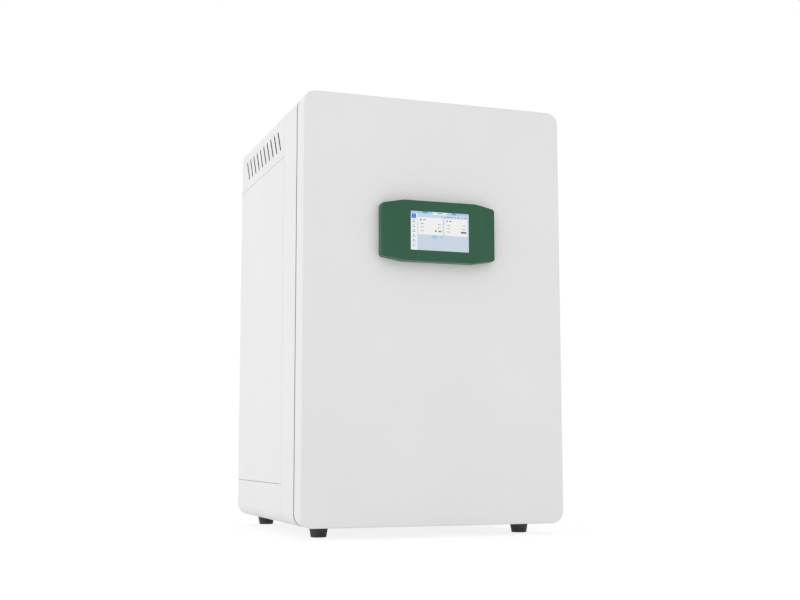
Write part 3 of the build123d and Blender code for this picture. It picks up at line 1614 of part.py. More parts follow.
# Rocker switch: a V-shaped rocker on two trunnions
half_throw = radians(rocker_throw / 2)
rocker_notch = rocker_radius - 4
with BuildPart() as rocker:
    with BuildSketch(side_view(rocker_x)) as rocker_section:
        with Locations(Location((rocker_y, service_z), -rocker_throw / 2)):
            Circle(rocker_radius)
            with BuildLine():
                Polyline(
                    (rocker_notch, 0),
                    (rocker_notch + 2 * rocker_radius * tan(half_throw), 2 * rocker_radius),
                    (3 * rocker_radius, 2 * rocker_radius),
                    (3 * rocker_radius, -2 * rocker_radius),
                    (rocker_notch + 2 * rocker_radius * tan(half_throw), -2 * rocker_radius),
                    close=True,
                )
            make_face(mode=Mode.SUBTRACT)
            with Locations((-rocker_radius, 0)):
                Rectangle(rocker_radius, 3 * rocker_radius, mode=Mode.SUBTRACT)
    extrude(rocker_section.sketch, amount=rocker_width / 2, both=True)
    with BuildSketch(side_view(rocker_x)) as trunnion:
        with Locations((rocker_y, service_z)):
            Circle(trunnion_radius)
    extrude(trunnion.sketch, amount=rocker_width / 2 + trunnion_length, both=True)
rocker.part.label = "rocker"
export_step(rocker.part, "parts/rocker.step")

# Control board on spacers, with two modules, two connectors and a finned heat sink
control_x = control_side_inset + control_width / 2 - board_outer_x
control_y = board_front_y + control_front_inset + control_depth / 2
module_side = 0.19 * control_width
sink_width = 0.14 * control_width
sink_length = 0.34 * control_depth
sink_fins = 7
with BuildPart() as control_board:
    with BuildSketch(Plane.XY.offset(deck_top_z + control_spacer)):
        with Locations((control_x, control_y)):
            Rectangle(control_width, control_depth)
    extrude(amount=control_board_sheet)
    with BuildSketch(Plane.XY.offset(deck_top_z)):
        with Locations((control_x, control_y)):
            with GridLocations(control_width - 12, control_depth - 12, 2, 2):
                Circle(3)
    extrude(amount=control_spacer)
    parts_plane = Plane.XY.offset(deck_top_z + control_spacer + control_board_sheet / 2)
    with BuildSketch(parts_plane):
        with Locations(
            (control_x - 0.28 * control_width, control_y - 0.15 * control_depth),
            (control_x + 0.17 * control_width, control_y + 0.15 * control_depth),
        ):
            Rectangle(module_side, module_side)
    extrude(amount=4)
    with BuildSketch(parts_plane):
        with Locations(
            (control_x, control_y - 0.38 * control_depth),
            (control_x - 0.22 * control_width, control_y + 0.31 * control_depth),
        ):
            Rectangle(0.33 * control_width, 0.09 * control_depth)
    extrude(amount=12)
    with BuildSketch(parts_plane):
        with Locations((control_x + 0.39 * control_width, control_y - 0.23 * control_depth)):
            with GridLocations(0, sink_length / sink_fins, 1, sink_fins):
                Rectangle(sink_width, 2)
            Rectangle(4, sink_length)
    extrude(amount=30)
control_board.part.label = "control_board"
export_step(control_board.part, "parts/control_board.step")

# Power supply: a closed case with a row of vents along its top
supply_x = board_outer_x - supply_side_inset - supply_width / 2
supply_y = board_front_y + supply_front_inset + supply_depth / 2
supply_vent_pitch = 0.8 * supply_width / supply_vent_count
with BuildPart() as power_supply:
    with BuildSketch(Plane.XY.offset(deck_top_z)):
        with Locations((supply_x, supply_y)):
            Rectangle(supply_width, supply_depth)
    extrude(amount=supply_height)
    fillet(power_supply.faces().sort_by(Axis.Z)[-1].edges(), radius=1.5)
    with BuildSketch(Plane.XY.offset(deck_top_z + supply_height)):
        with Locations((supply_x, supply_y)):
            with GridLocations(supply_vent_pitch, 0, supply_vent_count, 1):
                Rectangle(0.35 * supply_vent_pitch, 0.6 * supply_depth)
    extrude(amount=-3, mode=Mode.SUBTRACT)
power_supply.part.label = "power_supply"
export_step(power_supply.part, "parts/power_supply.step")
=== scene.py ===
"""Looks of a carbon dioxide incubator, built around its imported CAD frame. Metres throughout."""

import json
from math import radians

import bpy
import numpy as np
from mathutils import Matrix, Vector


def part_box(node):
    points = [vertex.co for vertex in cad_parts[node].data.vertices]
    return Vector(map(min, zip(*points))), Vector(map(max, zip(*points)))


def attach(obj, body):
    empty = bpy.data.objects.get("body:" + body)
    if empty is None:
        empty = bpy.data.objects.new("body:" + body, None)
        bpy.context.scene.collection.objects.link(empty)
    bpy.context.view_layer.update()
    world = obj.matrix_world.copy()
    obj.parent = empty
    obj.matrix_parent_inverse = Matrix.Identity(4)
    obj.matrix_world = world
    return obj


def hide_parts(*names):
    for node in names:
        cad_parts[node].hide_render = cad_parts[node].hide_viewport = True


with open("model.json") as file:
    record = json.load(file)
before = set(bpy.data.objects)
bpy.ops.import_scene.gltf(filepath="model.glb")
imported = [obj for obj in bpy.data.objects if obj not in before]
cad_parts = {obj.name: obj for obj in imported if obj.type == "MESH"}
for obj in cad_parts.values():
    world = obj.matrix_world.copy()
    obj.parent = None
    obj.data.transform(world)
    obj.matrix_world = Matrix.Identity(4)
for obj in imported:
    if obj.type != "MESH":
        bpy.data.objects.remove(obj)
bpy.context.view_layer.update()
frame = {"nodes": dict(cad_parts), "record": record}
nodes = frame["nodes"]
MM = 0.001
COLOURS = {"data_type": "RGBA"}
NOISE_SPAN = {"i1": 0.3, "i2": 0.7}  # noise lies mostly in here, so a map spreads this range


# Colours, nodes and the start of each material
def srgb(text):
    """Linear RGBA of an sRGB hex colour."""
    c = np.array([int(text[i:i + 2], 16) for i in (0, 2, 4)]) / 255
    return (*np.where(c <= 0.04045, c / 12.92, ((c + 0.055) / 1.055) ** 2.4).tolist(), 1.0)


def feed(tree, node, **inputs):
    """Set or link inputs, named with _ for a space, or i0, i1 for a socket's number."""
    for key, value in inputs.items():
        numbered = key[0] == "i" and key[1:].isdigit()
        socket = node.inputs[int(key[1:]) if numbered else key.replace("_", " ")]
        if isinstance(value, bpy.types.NodeSocket):
            tree.links.new(value, socket)
        else:
            socket.default_value = value


def add(tree, kind, settings=None, **inputs):
    """Add a shader node with its settings, values and links."""
    node = tree.nodes.new("ShaderNode" + kind)
    for key, value in (settings or {}).items():
        setattr(node, key, value)
    feed(tree, node, **inputs)
    return node


def blank(name):
    """A material without nodes, and its node tree."""
    material = bpy.data.materials.new(name)
    material.use_nodes = True
    material.node_tree.nodes.clear()
    return material, material.node_tree


def start(name, **values):
    """A material with its shader, the shader's constant values and the object's coordinates."""
    material, tree = blank(name)
    shader = add(tree, "BsdfPrincipled", **values)
    add(tree, "OutputMaterial", Surface=shader.outputs[0])
    return material, tree, shader, add(tree, "TexCoord").outputs["Object"]


def box_mm(node):
    """The low and the high corner of a CAD node in millimetres."""
    low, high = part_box(node)
    return np.array(low) * 1000, np.array(high) * 1000


# Finishes: sizes are in millimetres, and the docstrings say what each real surface is
def painted_inside_shade(tree, coords):
    """1 on the casings' inner faces, more than 0.7 mm under their rounded outline: where the shade inside
    the casing is painted.

    The depth is measured from the corner centres: sqrt(max(|x| - a, 0)^2 + max(|z - m| - b, 0)^2).
    """
    low, high = box_mm("front_casing")
    corner, skin, rolled = 25.0, 0.7, 2.5
    front, back = low[1] + rolled, box_mm("top_hood")[1][1] - skin
    parts = add(tree, "SeparateXYZ", i0=coords)
    across = add(tree, "Math", {"operation": "ABSOLUTE"}, i0=parts.outputs[0])
    across = add(tree, "Math", {"operation": "SUBTRACT"}, i0=across.outputs[0], i1=(high[0] - corner) * MM)
    up = add(tree, "Math", {"operation": "SUBTRACT"}, i0=parts.outputs[2], i1=(low[2] + high[2]) / 2 * MM)
    up = add(tree, "Math", {"operation": "ABSOLUTE"}, i0=up.outputs[0])
    up = add(tree, "Math", {"operation": "SUBTRACT"}, i0=up.outputs[0],
             i1=((high[2] - low[2]) / 2 - corner) * MM)
    reach = add(tree, "CombineXYZ", i0=across.outputs[0], i1=up.outputs[0])
    reach = add(tree, "VectorMath", {"operation": "MAXIMUM"}, i0=reach.outputs[0], i1=(0.0, 0.0, 0.0))
    depth = add(tree, "VectorMath", {"operation": "LENGTH"}, i0=reach.outputs[0])
    deep = add(tree, "Math", {"operation": "LESS_THAN"}, i0=depth.outputs["Value"], i1=(corner - skin) * MM)
    between = add(tree, "Math", {"operation": "COMPARE"}, i0=parts.outputs[1], i1=(front + back) / 2 * MM,
                  i2=(back - front) / 2 * MM)
    both = add(tree, "Math", {"operation": "MULTIPLY"}, i0=deep.outputs[0], i1=between.outputs[0])
    return both.outputs[0]


def powder_coat(name, edge_shade_mm=None):
    """Epoxy powder coat on steel sheet, baked: a satin white film with a 1.1 mm orange peel.

    In front of the given depth the white fades over 0.6 mm to grey: painted shade on the rolled edge, in the
    gap behind the door.
    """
    material, tree, shader, coords = start(name, Specular_IOR_Level=0.35)
    patch = add(tree, "TexNoise", Vector=coords, Scale=1 / (180 * MM), Detail=2.0)
    share = add(tree, "MapRange", i0=patch.outputs[0], **NOISE_SPAN)
    white = add(tree, "Mix", COLOURS, i0=share.outputs[0], i6=srgb("EEEEEE"), i7=srgb("ECECEC"))
    # Painted shade: grey on the rolled edge stands in for the shade of the gap behind the door
    if edge_shade_mm is not None:
        depth = add(tree, "SeparateXYZ", i0=coords).outputs[1]
        edge_shade = add(tree, "MapRange", i0=depth, i1=(edge_shade_mm - 0.3) * MM, i2=(edge_shade_mm + 0.3) * MM, i3=1.0,
                   i4=0.0)
        white = add(tree, "Mix", COLOURS, i0=edge_shade.outputs[0], i6=white.outputs[2], i7=srgb("8A8C8E"))
    # Painted shade: the inner faces turn near-black, standing in for the dark inside the casing
    tone = add(tree, "Mix", COLOURS, i0=painted_inside_shade(tree, coords), i6=white.outputs[2], i7=srgb("2E3032"))
    peel = add(tree, "TexNoise", Vector=coords, Scale=1 / (1.1 * MM), Detail=2.0, Roughness=0.45)
    gloss = add(tree, "MapRange", i0=peel.outputs[0], i3=0.40, i4=0.46, **NOISE_SPAN)
    relief = add(tree, "Bump", Height=peel.outputs[0], Distance=0.012 * MM)
    feed(tree, shader, Base_Color=tone.outputs[2], Roughness=gloss.outputs[0], Normal=relief.outputs[0])
    return material


def brushed_steel(name, light, dark, along):
    """Stainless sheet after a belt: streaks 0.5 mm wide and 40 mm long, drawn coarse enough to show.

    The streaks move tone, gloss and relief a little, so the sheet reads as grained and not as a mirror.
    """
    material, tree, shader, coords = start(name, Metallic=1.0)
    stretch = [1 / 80 if axis == along else 1.0 for axis in "xyz"]
    drawn = add(tree, "VectorMath", {"operation": "MULTIPLY"}, i0=coords, i1=stretch)
    streak = add(tree, "TexNoise", Vector=drawn.outputs[0], Scale=1 / (0.5 * MM), Detail=4.0, Roughness=0.6)
    sheen = add(tree, "TexNoise", Vector=drawn.outputs[0], Scale=1 / (9 * MM), Detail=1.0)
    both = add(tree, "Math", {"operation": "MULTIPLY_ADD"}, i0=streak.outputs[0], i1=0.6,
               i2=add(tree, "Math", {"operation": "MULTIPLY"}, i0=sheen.outputs[0], i1=0.4).outputs[0])
    share = add(tree, "MapRange", i0=both.outputs[0], **NOISE_SPAN)
    tone = add(tree, "Mix", COLOURS, i0=share.outputs[0], i6=srgb(light), i7=srgb(dark))
    gloss = add(tree, "MapRange", i0=streak.outputs[0], i3=0.30, i4=0.38, **NOISE_SPAN)
    relief = add(tree, "Bump", Height=streak.outputs[0], Distance=0.002 * MM)
    feed(tree, shader, Base_Color=tone.outputs[2], Roughness=gloss.outputs[0], Normal=relief.outputs[0])
    return material


def zinc_plate():
    """Bright zinc plate on steel: soft crystals about 14 mm across in two close greys."""
    material, tree, shader, coords = start("zinc_plated_steel", Metallic=1.0)
    cells = add(tree, "TexVoronoi", Vector=coords, Scale=1 / (14 * MM)).outputs["Color"]
    tone = add(tree, "Mix", COLOURS, i0=cells, i6=srgb("C3C5C6"), i7=srgb("AFB2B4"))
    gloss = add(tree, "MapRange", i0=cells, i3=0.30, i4=0.46)
    grain = add(tree, "TexNoise", Vector=coords, Scale=1 / (0.8 * MM), Detail=3.0)
    relief = add(tree, "Bump", Height=grain.outputs[0], Distance=0.005 * MM)
    feed(tree, shader, Base_Color=tone.outputs[2], Roughness=gloss.outputs[0], Normal=relief.outputs[0])
    return material


def mineral_fibre():
    """Pressed mineral fibre board: straw-coloured strands, 1.5 by 6 mm, in 22 mm clumps."""
    material, tree, shader, coords = start("mineral_fibre_board", Roughness=0.95, Specular_IOR_Level=0.1)
    drawn = add(tree, "VectorMath", {"operation": "MULTIPLY"}, i0=coords, i1=(1.0, 0.25, 1.0))
    strands = add(tree, "TexNoise", Vector=drawn.outputs[0], Scale=1 / (1.5 * MM), Detail=5.0, Roughness=0.7)
    clumps = add(tree, "TexNoise", Vector=coords, Scale=1 / (22 * MM), Detail=3.0)
    fine = add(tree, "MapRange", i0=strands.outputs[0], **NOISE_SPAN)
    coarse = add(tree, "MapRange", i0=clumps.outputs[0], i4=0.35, **NOISE_SPAN)
    tone = add(tree, "Mix", COLOURS, i0=fine.outputs[0], i6=srgb("E6DCB4"), i7=srgb("C9BA86"))
    tone = add(tree, "Mix", COLOURS, i0=coarse.outputs[0], i6=tone.outputs[2], i7=srgb("BBAC7C"))
    relief = add(tree, "Bump", Height=strands.outputs[0], Distance=0.6 * MM)
    feed(tree, shader, Base_Color=tone.outputs[2], Normal=relief.outputs[0])
    return material


def heater_mat():
    """Silicone rubber over glass cloth, pressed: brick red, with the cloth's 1.4 mm weave in it."""
    material, tree, shader, coords = start("red_silicone_heater_mat", Roughness=0.6)
    weave = add(tree, "TexChecker", Vector=coords, Scale=1 / (1.4 * MM)).outputs["Fac"]
    patch = add(tree, "TexNoise", Vector=coords, Scale=1 / (40 * MM), Detail=2.0)
    share = add(tree, "MapRange", i0=patch.outputs[0], **NOISE_SPAN)
    tone = add(tree, "Mix", COLOURS, i0=share.outputs[0], i6=srgb("B4512F"), i7=srgb("9E4427"))
    relief = add(tree, "Bump", Height=weave, Strength=0.6, Distance=0.05 * MM)
    feed(tree, shader, Base_Color=tone.outputs[2], Normal=relief.outputs[0])
    return material


def grained(name, light, dark, patch_mm, grain_mm, depth_mm, rough, stretch=(1.0, 1.0, 1.0), **values):
    """Two close tones in slow patches, with a fine grain in the relief and the gloss.

    It serves mouldings (the spark-eroded grain of the tool), castings, turned and drawn metal and paper.
    """
    material, tree, shader, coords = start(name, **values)
    patch = add(tree, "TexNoise", Vector=coords, Scale=1 / (patch_mm * MM), Detail=2.0)
    share = add(tree, "MapRange", i0=patch.outputs[0], **NOISE_SPAN)
    tone = add(tree, "Mix", COLOURS, i0=share.outputs[0], i6=srgb(light), i7=srgb(dark))
    drawn = add(tree, "VectorMath", {"operation": "MULTIPLY"}, i0=coords, i1=stretch)
    grain = add(tree, "TexNoise", Vector=drawn.outputs[0], Scale=1 / (grain_mm * MM), Detail=3.0)
    gloss = add(tree, "MapRange", i0=grain.outputs[0], i3=rough[0], i4=rough[1], **NOISE_SPAN)
    relief = add(tree, "Bump", Height=grain.outputs[0], Distance=depth_mm * MM)
    feed(tree, shader, Base_Color=tone.outputs[2], Roughness=gloss.outputs[0], Normal=relief.outputs[0])
    return material


def toughened_glass():
    """Toughened float glass: clear with a faint green cast, barely waved by its rollers."""
    material, tree, shader, coords = start("toughened_glass", Roughness=0.0, IOR=1.5,
                                           Transmission_Weight=1.0)
    wave = add(tree, "TexNoise", Vector=coords, Scale=1 / (160 * MM), Detail=1.0)
    tone = add(tree, "Mix", COLOURS, i0=wave.outputs[0], i6=srgb("F7FCFA"), i7=srgb("F0F8F5"))
    relief = add(tree, "Bump", Height=wave.outputs[0], Distance=0.005 * MM)
    feed(tree, shader, Base_Color=tone.outputs[2], Normal=relief.outputs[0])
    return material


def solder_mask():
    """Green lacquer over etched copper: paler where 1 mm rows of tracks lie under it."""
    material, tree, shader, coords = start("solder_mask_on_copper", Roughness=0.35)
    tracks = add(tree, "TexBrick", Vector=coords, Scale=260.0, Mortar_Size=0.06, Color1=(1, 1, 1, 1),
                 Color2=(0.6, 0.6, 0.6, 1), Mortar=(0, 0, 0, 1)).outputs["Color"]
    patch = add(tree, "TexNoise", Vector=coords, Scale=1 / (12 * MM), Detail=2.0)
    paler = add(tree, "Math", {"operation": "MULTIPLY"}, i0=tracks, i1=patch.outputs[0])
    share = add(tree, "MapRange", i0=paler.outputs[0], **NOISE_SPAN)
    tone = add(tree, "Mix", COLOURS, i0=share.outputs[0], i6=srgb("0F4A2C"), i7=srgb("2C7A4C"))
    relief = add(tree, "Bump", Height=tracks, Strength=0.5, Distance=0.03 * MM)
    feed(tree, shader, Base_Color=tone.outputs[2], Normal=relief.outputs[0])
    return material


def two_finishes(name, low, high, axis, split_mm, metallic, rough):
    """Two finishes on one solid, parted at a height or a depth: low before split_mm, high past it."""
    material, tree, shader, coords = start(name)
    place = add(tree, "SeparateXYZ", i0=coords).outputs["XYZ".index(axis)]
    past = add(tree, "Math", {"operation": "GREATER_THAN"}, i0=place, i1=split_mm * MM).outputs[0]
    grain = add(tree, "TexNoise", Vector=coords, Scale=1 / (0.6 * MM), Detail=3.0)
    tone = add(tree, "Mix", COLOURS, i0=past, i6=srgb(low), i7=srgb(high))
    dust = add(tree, "MapRange", i0=grain.outputs[0], i4=0.08, **NOISE_SPAN)
    tone = add(tree, "Mix", COLOURS, i0=dust.outputs[0], i6=tone.outputs[2], i7=srgb("808080"))
    metal = add(tree, "MapRange", i0=past, i3=metallic[0], i4=metallic[1])
    gloss = add(tree, "MapRange", i0=grain.outputs[0], i3=rough - 0.05, i4=rough + 0.07, **NOISE_SPAN)
    relief = add(tree, "Bump", Height=grain.outputs[0], Distance=0.01 * MM)
    feed(tree, shader, Base_Color=tone.outputs[2], Metallic=metal.outputs[0], Roughness=gloss.outputs[0],
         Normal=relief.outputs[0])
    return material


def lit_display(name, colour):
    """Liquid crystal panel, lit from behind: its colour with the faint 0.2 mm grid of its pixels."""
    material, tree, shader, coords = start(name, Emission_Strength=0.97, Roughness=0.2,
                                           Specular_IOR_Level=0.2)
    pixels = add(tree, "TexChecker", Vector=coords, Scale=1 / (0.19 * MM), Color1=srgb("FFFFFF"),
                 Color2=srgb("F7F7F7")).outputs["Color"]
    cloud = add(tree, "TexNoise", Vector=coords, Scale=1 / (30 * MM), Detail=1.0)
    share = add(tree, "MapRange", i0=cloud.outputs[0], i4=0.06, **NOISE_SPAN)
    tone = add(tree, "Mix", COLOURS, i0=share.outputs[0], i6=srgb(colour), i7=srgb("FFFFFF"))
    glow = add(tree, "Mix", {**COLOURS, "blend_type": "MULTIPLY"}, i0=1.0, i6=tone.outputs[2], i7=pixels)
    unlit = add(tree, "Mix", COLOURS, i0=0.94, i6=glow.outputs[2], i7=srgb("000000"))
    feed(tree, shader, Emission_Color=glow.outputs[2], Base_Color=unlit.outputs[2])
    return material


# Finishes by material slot, each with what its real surface gives the eye
finishes = {
    # baked film: flat satin white, with soft highlights
    "white_paint": powder_coat("white_powder_coat_on_steel"),
    # ground on a belt: upright streaks that draw each glint out
    "stainless": brushed_steel("brushed_stainless_steel", "D8DADC", "C6C9CB", "z"),
    # plated after pressing: cool and cloudy
    "zinc_steel": zinc_plate(),
    # spark-eroded tool: an even satin without streaks
    "frame_plastic": grained("pale_grey_moulded_abs", "DFE0E1", "D8DADB", 70, 0.45, 0.03, (0.4, 0.52)),
    # pressed fibres: straw-coloured and fully matt
    "insulation": mineral_fibre(),
    # cured over cloth: dull brick red with a fine weave
    "heater_mat": heater_mat(),
    # extruded: slightly waxy, with a soft gloss
    "gasket_rubber": grained("pale_grey_extruded_pvc_seal", "DADBDC", "D2D3D4", 60, 0.5, 0.02, (0.5, 0.62)),
    # pressed and sintered: dark, with a weak metallic glint
    "magnet": grained("sintered_ferrite", "3A3B3D", "2E2F31", 8, 0.4, 0.02, (0.35, 0.5), Metallic=0.8),
    # die cast: dull silver with a mottled skin
    "cast_alloy": grained("die_cast_zinc_alloy", "B7B9BB", "A6A9AB", 30, 0.7, 0.03, (0.34, 0.5),
                          Metallic=1.0),
    # moulded in a smooth tool: deep green with a broad sheen
    "green_housing": grained("green_moulded_abs", "0E5738", "0C5334", 70, 0.5, 0.01, (0.26, 0.34)),
    # polished before it is toughened: a sharp, cool reflection
    "screen_glass": grained("chemically_toughened_cover_glass", "B9C6D2", "B4C2CE", 50, 2.0, 0.0005,
                            (0.05, 0.09)),
    # lacquered over copper: green with paler tracks
    "circuit_board": solder_mask(),
    # floated and rolled: clear, and green where it is thick
    "clear_glass": toughened_glass(),
    # moulded with carbon black: matt, and a little grey in the light
    "black_rubber": grained("black_moulded_rubber", "3C3E3D", "353736", 70, 0.6, 0.03, (0.55, 0.72)),
    # cast and cured: milky, as light goes some way into it
    "silicone": grained("white_cast_silicone", "ECECE6", "E2E2DB", 25, 0.6, 0.02, (0.42, 0.55),
                        Subsurface_Weight=0.15, Subsurface_Scale=0.002),
    # moulded with glass fibre: black and slightly rough
    "dark_nylon": grained("black_glass_filled_nylon", "2A2B2D", "202123", 70, 0.45, 0.03, (0.4, 0.55)),
    # laid like paper: off-white and fully matt
    "filter_medium": grained("pleated_glass_fibre_paper", "F1F1EC", "E7E7E0", 18, 0.8, 0.05, (0.8, 0.95)),
    # moulded: clean white and satin
    "white_plastic": grained("white_moulded_abs", "EAEBEA", "E3E4E3", 70, 0.45, 0.03, (0.42, 0.56)),
    # turned: warm yellow, with fine rings of gloss
    "brass": grained("turned_brass", "D9B469", "C49E55", 14, 0.3, 0.01, (0.22, 0.36), (1.0, 1.0, 0.1),
                     Metallic=1.0),
    # moulded in a polished tool: black with a tight sheen
    "black_plastic": grained("black_moulded_polycarbonate", "1E1F21", "17181A", 70, 0.4, 0.01, (0.3, 0.42)),
    # rolled and folded: pale metal with a faint grain along the sheet
    "grey_case": grained("folded_aluminium_sheet", "C2C4C5", "B4B6B8", 40, 0.5, 0.01, (0.34, 0.48),
                         (1.0, 0.05, 1.0), Metallic=1.0),
}
# Finishes of single nodes: another way of the grain, painted shade on an edge, or two finishes on one solid
shelf_steel = brushed_steel("brushed_stainless_steel_shelves", "D8DADC", "C4C7CA", "x")
roll_depth = 2.7
rolled_edge = box_mm("front_casing")[0][1] + roll_depth
# The coil starts and the sensor's head starts at these heights, and the metal ends at this depth
coil_foot, head_foot, pin_end = 801.5, 771.6, 260.5
own_finishes = {
    # The front casing's white turns grey in front of its rolled edge: painted shade of the door gap
    "front_casing": powder_coat("white_powder_coat_with_painted_edge_shade", rolled_edge),
    "shelf_1": shelf_steel,
    "shelf_2": shelf_steel,
    "shelf_3": shelf_steel,
    "humidity_pan": brushed_steel("satin_stainless_steel_pan", "DADCDE", "C8CBCE", "y"),
    "solenoid_valve": two_finishes("brass_body_and_black_coil", "CDA65C", "1C1D1F", "Z", coil_foot,
                                   (1.0, 0.0), 0.4),
    "co2_sensor": two_finishes("steel_stem_and_white_head", "C9CBCD", "E8E9E9", "Z", head_foot,
                               (1.0, 0.0), 0.4),
    "power_entry": two_finishes("nickel_pins_in_black_moulding", "B9BABC", "1B1C1E", "Y", pin_end,
                                (1.0, 0.0), 0.35),
}

# Every CAD node takes its finish, with its edges kept crisp past 28 degrees
CRISP_DEGREES = 28
for row in frame["record"]["subparts"]:
    mesh = nodes[row["node"]].data
    mesh.materials.clear()
    mesh.materials.append(own_finishes.get(row["node"], finishes[row["material_slot"]]))
    mesh.shade_smooth()
    mesh.set_sharp_from_angle(angle=radians(CRISP_DEGREES))


# Pieces: points are worked out in millimetres as whole arrays, in place in the object's frame
def quads(rows, columns, ring_rows=False, ring_columns=False):
    """Faces between neighbours of a grid of points; a ring joins the last row or column to the first."""
    i, j = np.meshgrid(np.arange(rows - (not ring_rows)), np.arange(columns - (not ring_columns)),
                       indexing="ij")
    low, high = i * columns, (i + 1) % rows * columns
    beside = (j + 1) % columns
    return np.stack([low + j, low + beside, high + beside, high + j], axis=-1).reshape(-1, 4)


def joined(shells):
    """One set of points, faces and material numbers from several (points, faces, number)."""
    starts = np.cumsum([0] + [len(points) for points, _, _ in shells])
    points = np.concatenate([points for points, _, _ in shells])
    faces = [tuple((np.asarray(face) + first).tolist())
             for first, (_, shell, _) in zip(starts, shells) for face in shell]
    numbers = [number for _, shell, number in shells for _ in shell]
    return points, faces, numbers


def placed(name, data):
    """A new object with its data, linked to the scene."""
    made = bpy.data.objects.new(name, data)
    bpy.context.scene.collection.objects.link(made)
    return made


def piece(name, shells, materials, body, sharp_degrees=30):
    """A mesh piece that rides on a body, made of shells in millimetres."""
    points, faces, numbers = joined(shells)
    mesh = bpy.data.meshes.new(name)
    mesh.from_pydata((points * MM).tolist(), [], faces)
    for material in materials:
        mesh.materials.append(material)
    mesh.polygons.foreach_set("material_index", numbers)
    mesh.update()
    if sharp_degrees:
        mesh.shade_smooth()
        mesh.set_sharp_from_angle(angle=radians(sharp_degrees))
    made = placed(name, mesh)
    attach(made, body)
    return made


def rounded_path(half_x, half_z, corner, steps=10):
    """Points and outward normals round a rounded rectangle: corner centre + r (cos t, sin t)."""
    turn = np.arange(4)[:, None] * 90 + np.linspace(0, 90, steps + 1)[None, :]
    normal = np.stack([np.cos(np.radians(turn)), np.sin(np.radians(turn))], axis=-1)
    centre = np.array([(1, 1), (-1, 1), (-1, -1), (1, -1)]) * (half_x - corner, half_z - corner)
    return (centre[:, None] + corner * normal).reshape(-1, 2), normal.reshape(-1, 2)


def carried_profile(half_x, half_z, corner, centre_z, profile):
    """A closed profile carried round a rounded rectangle: (x, z) = path + u n, y = v."""
    path, normal = rounded_path(half_x, half_z, corner)
    profile = np.array(profile)
    flat = path[:, None] + profile[None, :, :1] * normal[:, None]
    depth = np.broadcast_to(profile[None, :, 1:], (*flat.shape[:2], 1))
    points = np.concatenate([flat[..., :1], depth, flat[..., 1:] + centre_z], axis=-1)
    return points.reshape(-1, 3), quads(len(path), len(profile), True, True), 0


def turned_profile(profile, centre, number, around=96):
    """A closed profile of (r, z) turned about a vertical axis: (r cos t, r sin t, z)."""
    radius, height = np.array(profile).T[:, :, None]
    turn = np.linspace(0, 2 * np.pi, around, endpoint=False)[None]
    points = np.stack(np.broadcast_arrays(centre[0] + radius * np.cos(turn),
                                          centre[1] + radius * np.sin(turn), height), axis=-1)
    return points.reshape(-1, 3), quads(len(profile), around, True, True), number


# Magnetic door seal: a base lip, a bellows of two folds and the bead that holds the magnet
low, high = box_mm("door_gasket")
front, back, corner = low[1], high[1], 16.0
door_seal = piece("door_seal", [carried_profile(
    (high[0] - low[0]) / 2, (high[2] - low[2]) / 2, corner, (high[2] + low[2]) / 2,
    [(0.0, front), (0.0, front + 0.8), (-2.2, front + 1.1), (-1.6, front + 1.7), (-2.4, front + 2.2),
     (-2.0, back - 0.6), (-2.5, back - 0.1), (-3.2, back), (-8.8, back), (-9.5, back - 0.1),
     (-10.0, back - 0.6), (-9.6, front + 2.2), (-10.4, front + 1.7), (-9.8, front + 1.1),
     (-12.0, front + 0.8), (-12.0, front)],
)], [finishes["gasket_rubber"]], "outer_door")
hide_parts("door_gasket")

# Chamber seal: a hollow silicone bulb with a flat foot, which the glass door closes on
low, high = box_mm("inner_gasket")
front, back, corner = low[1], high[1], 22.0
chamber_seal = piece("chamber_seal", [carried_profile(
    (high[0] - low[0]) / 2, (high[2] - low[2]) / 2, corner, (high[2] + low[2]) / 2,
    [(-9.0, back), (-9.0, back - 1.2), (-7.5, back - 2.0), (-6.8, front + 0.8), (-5.6, front),
     (-3.4, front), (-2.2, front + 0.8), (-1.5, back - 2.0), (0.0, back - 1.2), (0.0, back)],
)], [finishes["silicone"]], "cabinet")
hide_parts("inner_gasket")


def screw_head(place, radius, height, rings=14, around=48):
    """Pan head with a cross recess, facing the back: y = h (1 - 0.55 (r / R)^2.6) less the cross.

    The cross is 0.55 h deep where the distance to an arm is under 0.15 R and the reach under 0.58 R.
    """
    r = radius * np.linspace(0, 1, rings)[:, None] ** 0.9
    turn = np.linspace(0, 2 * np.pi, around, endpoint=False)[None]
    x, z = r * np.cos(turn), r * np.sin(turn)
    across, along = np.minimum(abs(x), abs(z)), np.maximum(abs(x), abs(z))
    wall = np.clip((0.15 * radius - across) / (0.05 * radius) + 0.5, 0, 1)
    end = np.clip((0.58 * radius - along) / (0.1 * radius), 0, 1)
    y = height * (1 - 0.55 * (r / radius) ** 2.6) - 0.55 * height * wall * end
    grid = np.stack([x, y, z], axis=-1)
    pole, rows = grid[0, :1], np.concatenate([grid[1:], grid[-1:] * (1, 0, 1)])
    points = np.concatenate([pole, rows.reshape(-1, 3)]) + place
    first = 1 + np.arange(around)
    fan = np.stack([np.zeros_like(first), np.roll(first, -1), first], axis=-1)
    foot = first + (rings - 1) * around
    return points, [*fan, *(quads(rings, around, ring_columns=True) + 1), foot], 0


# Cross-head screws along both sides of the back panel
low, high = box_mm("back_panel_screws")
head_radius, screws_a_side = 4.0, 4
back_screws = piece("back_screws", [
    screw_head((x, low[1], z), head_radius, high[1] - low[1])
    for x in (low[0] + head_radius, high[0] - head_radius)
    for z in np.linspace(low[2] + head_radius, high[2] - head_radius, screws_a_side)
], [finishes["zinc_steel"]], "cabinet", sharp_degrees=35)
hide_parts("back_panel_screws")


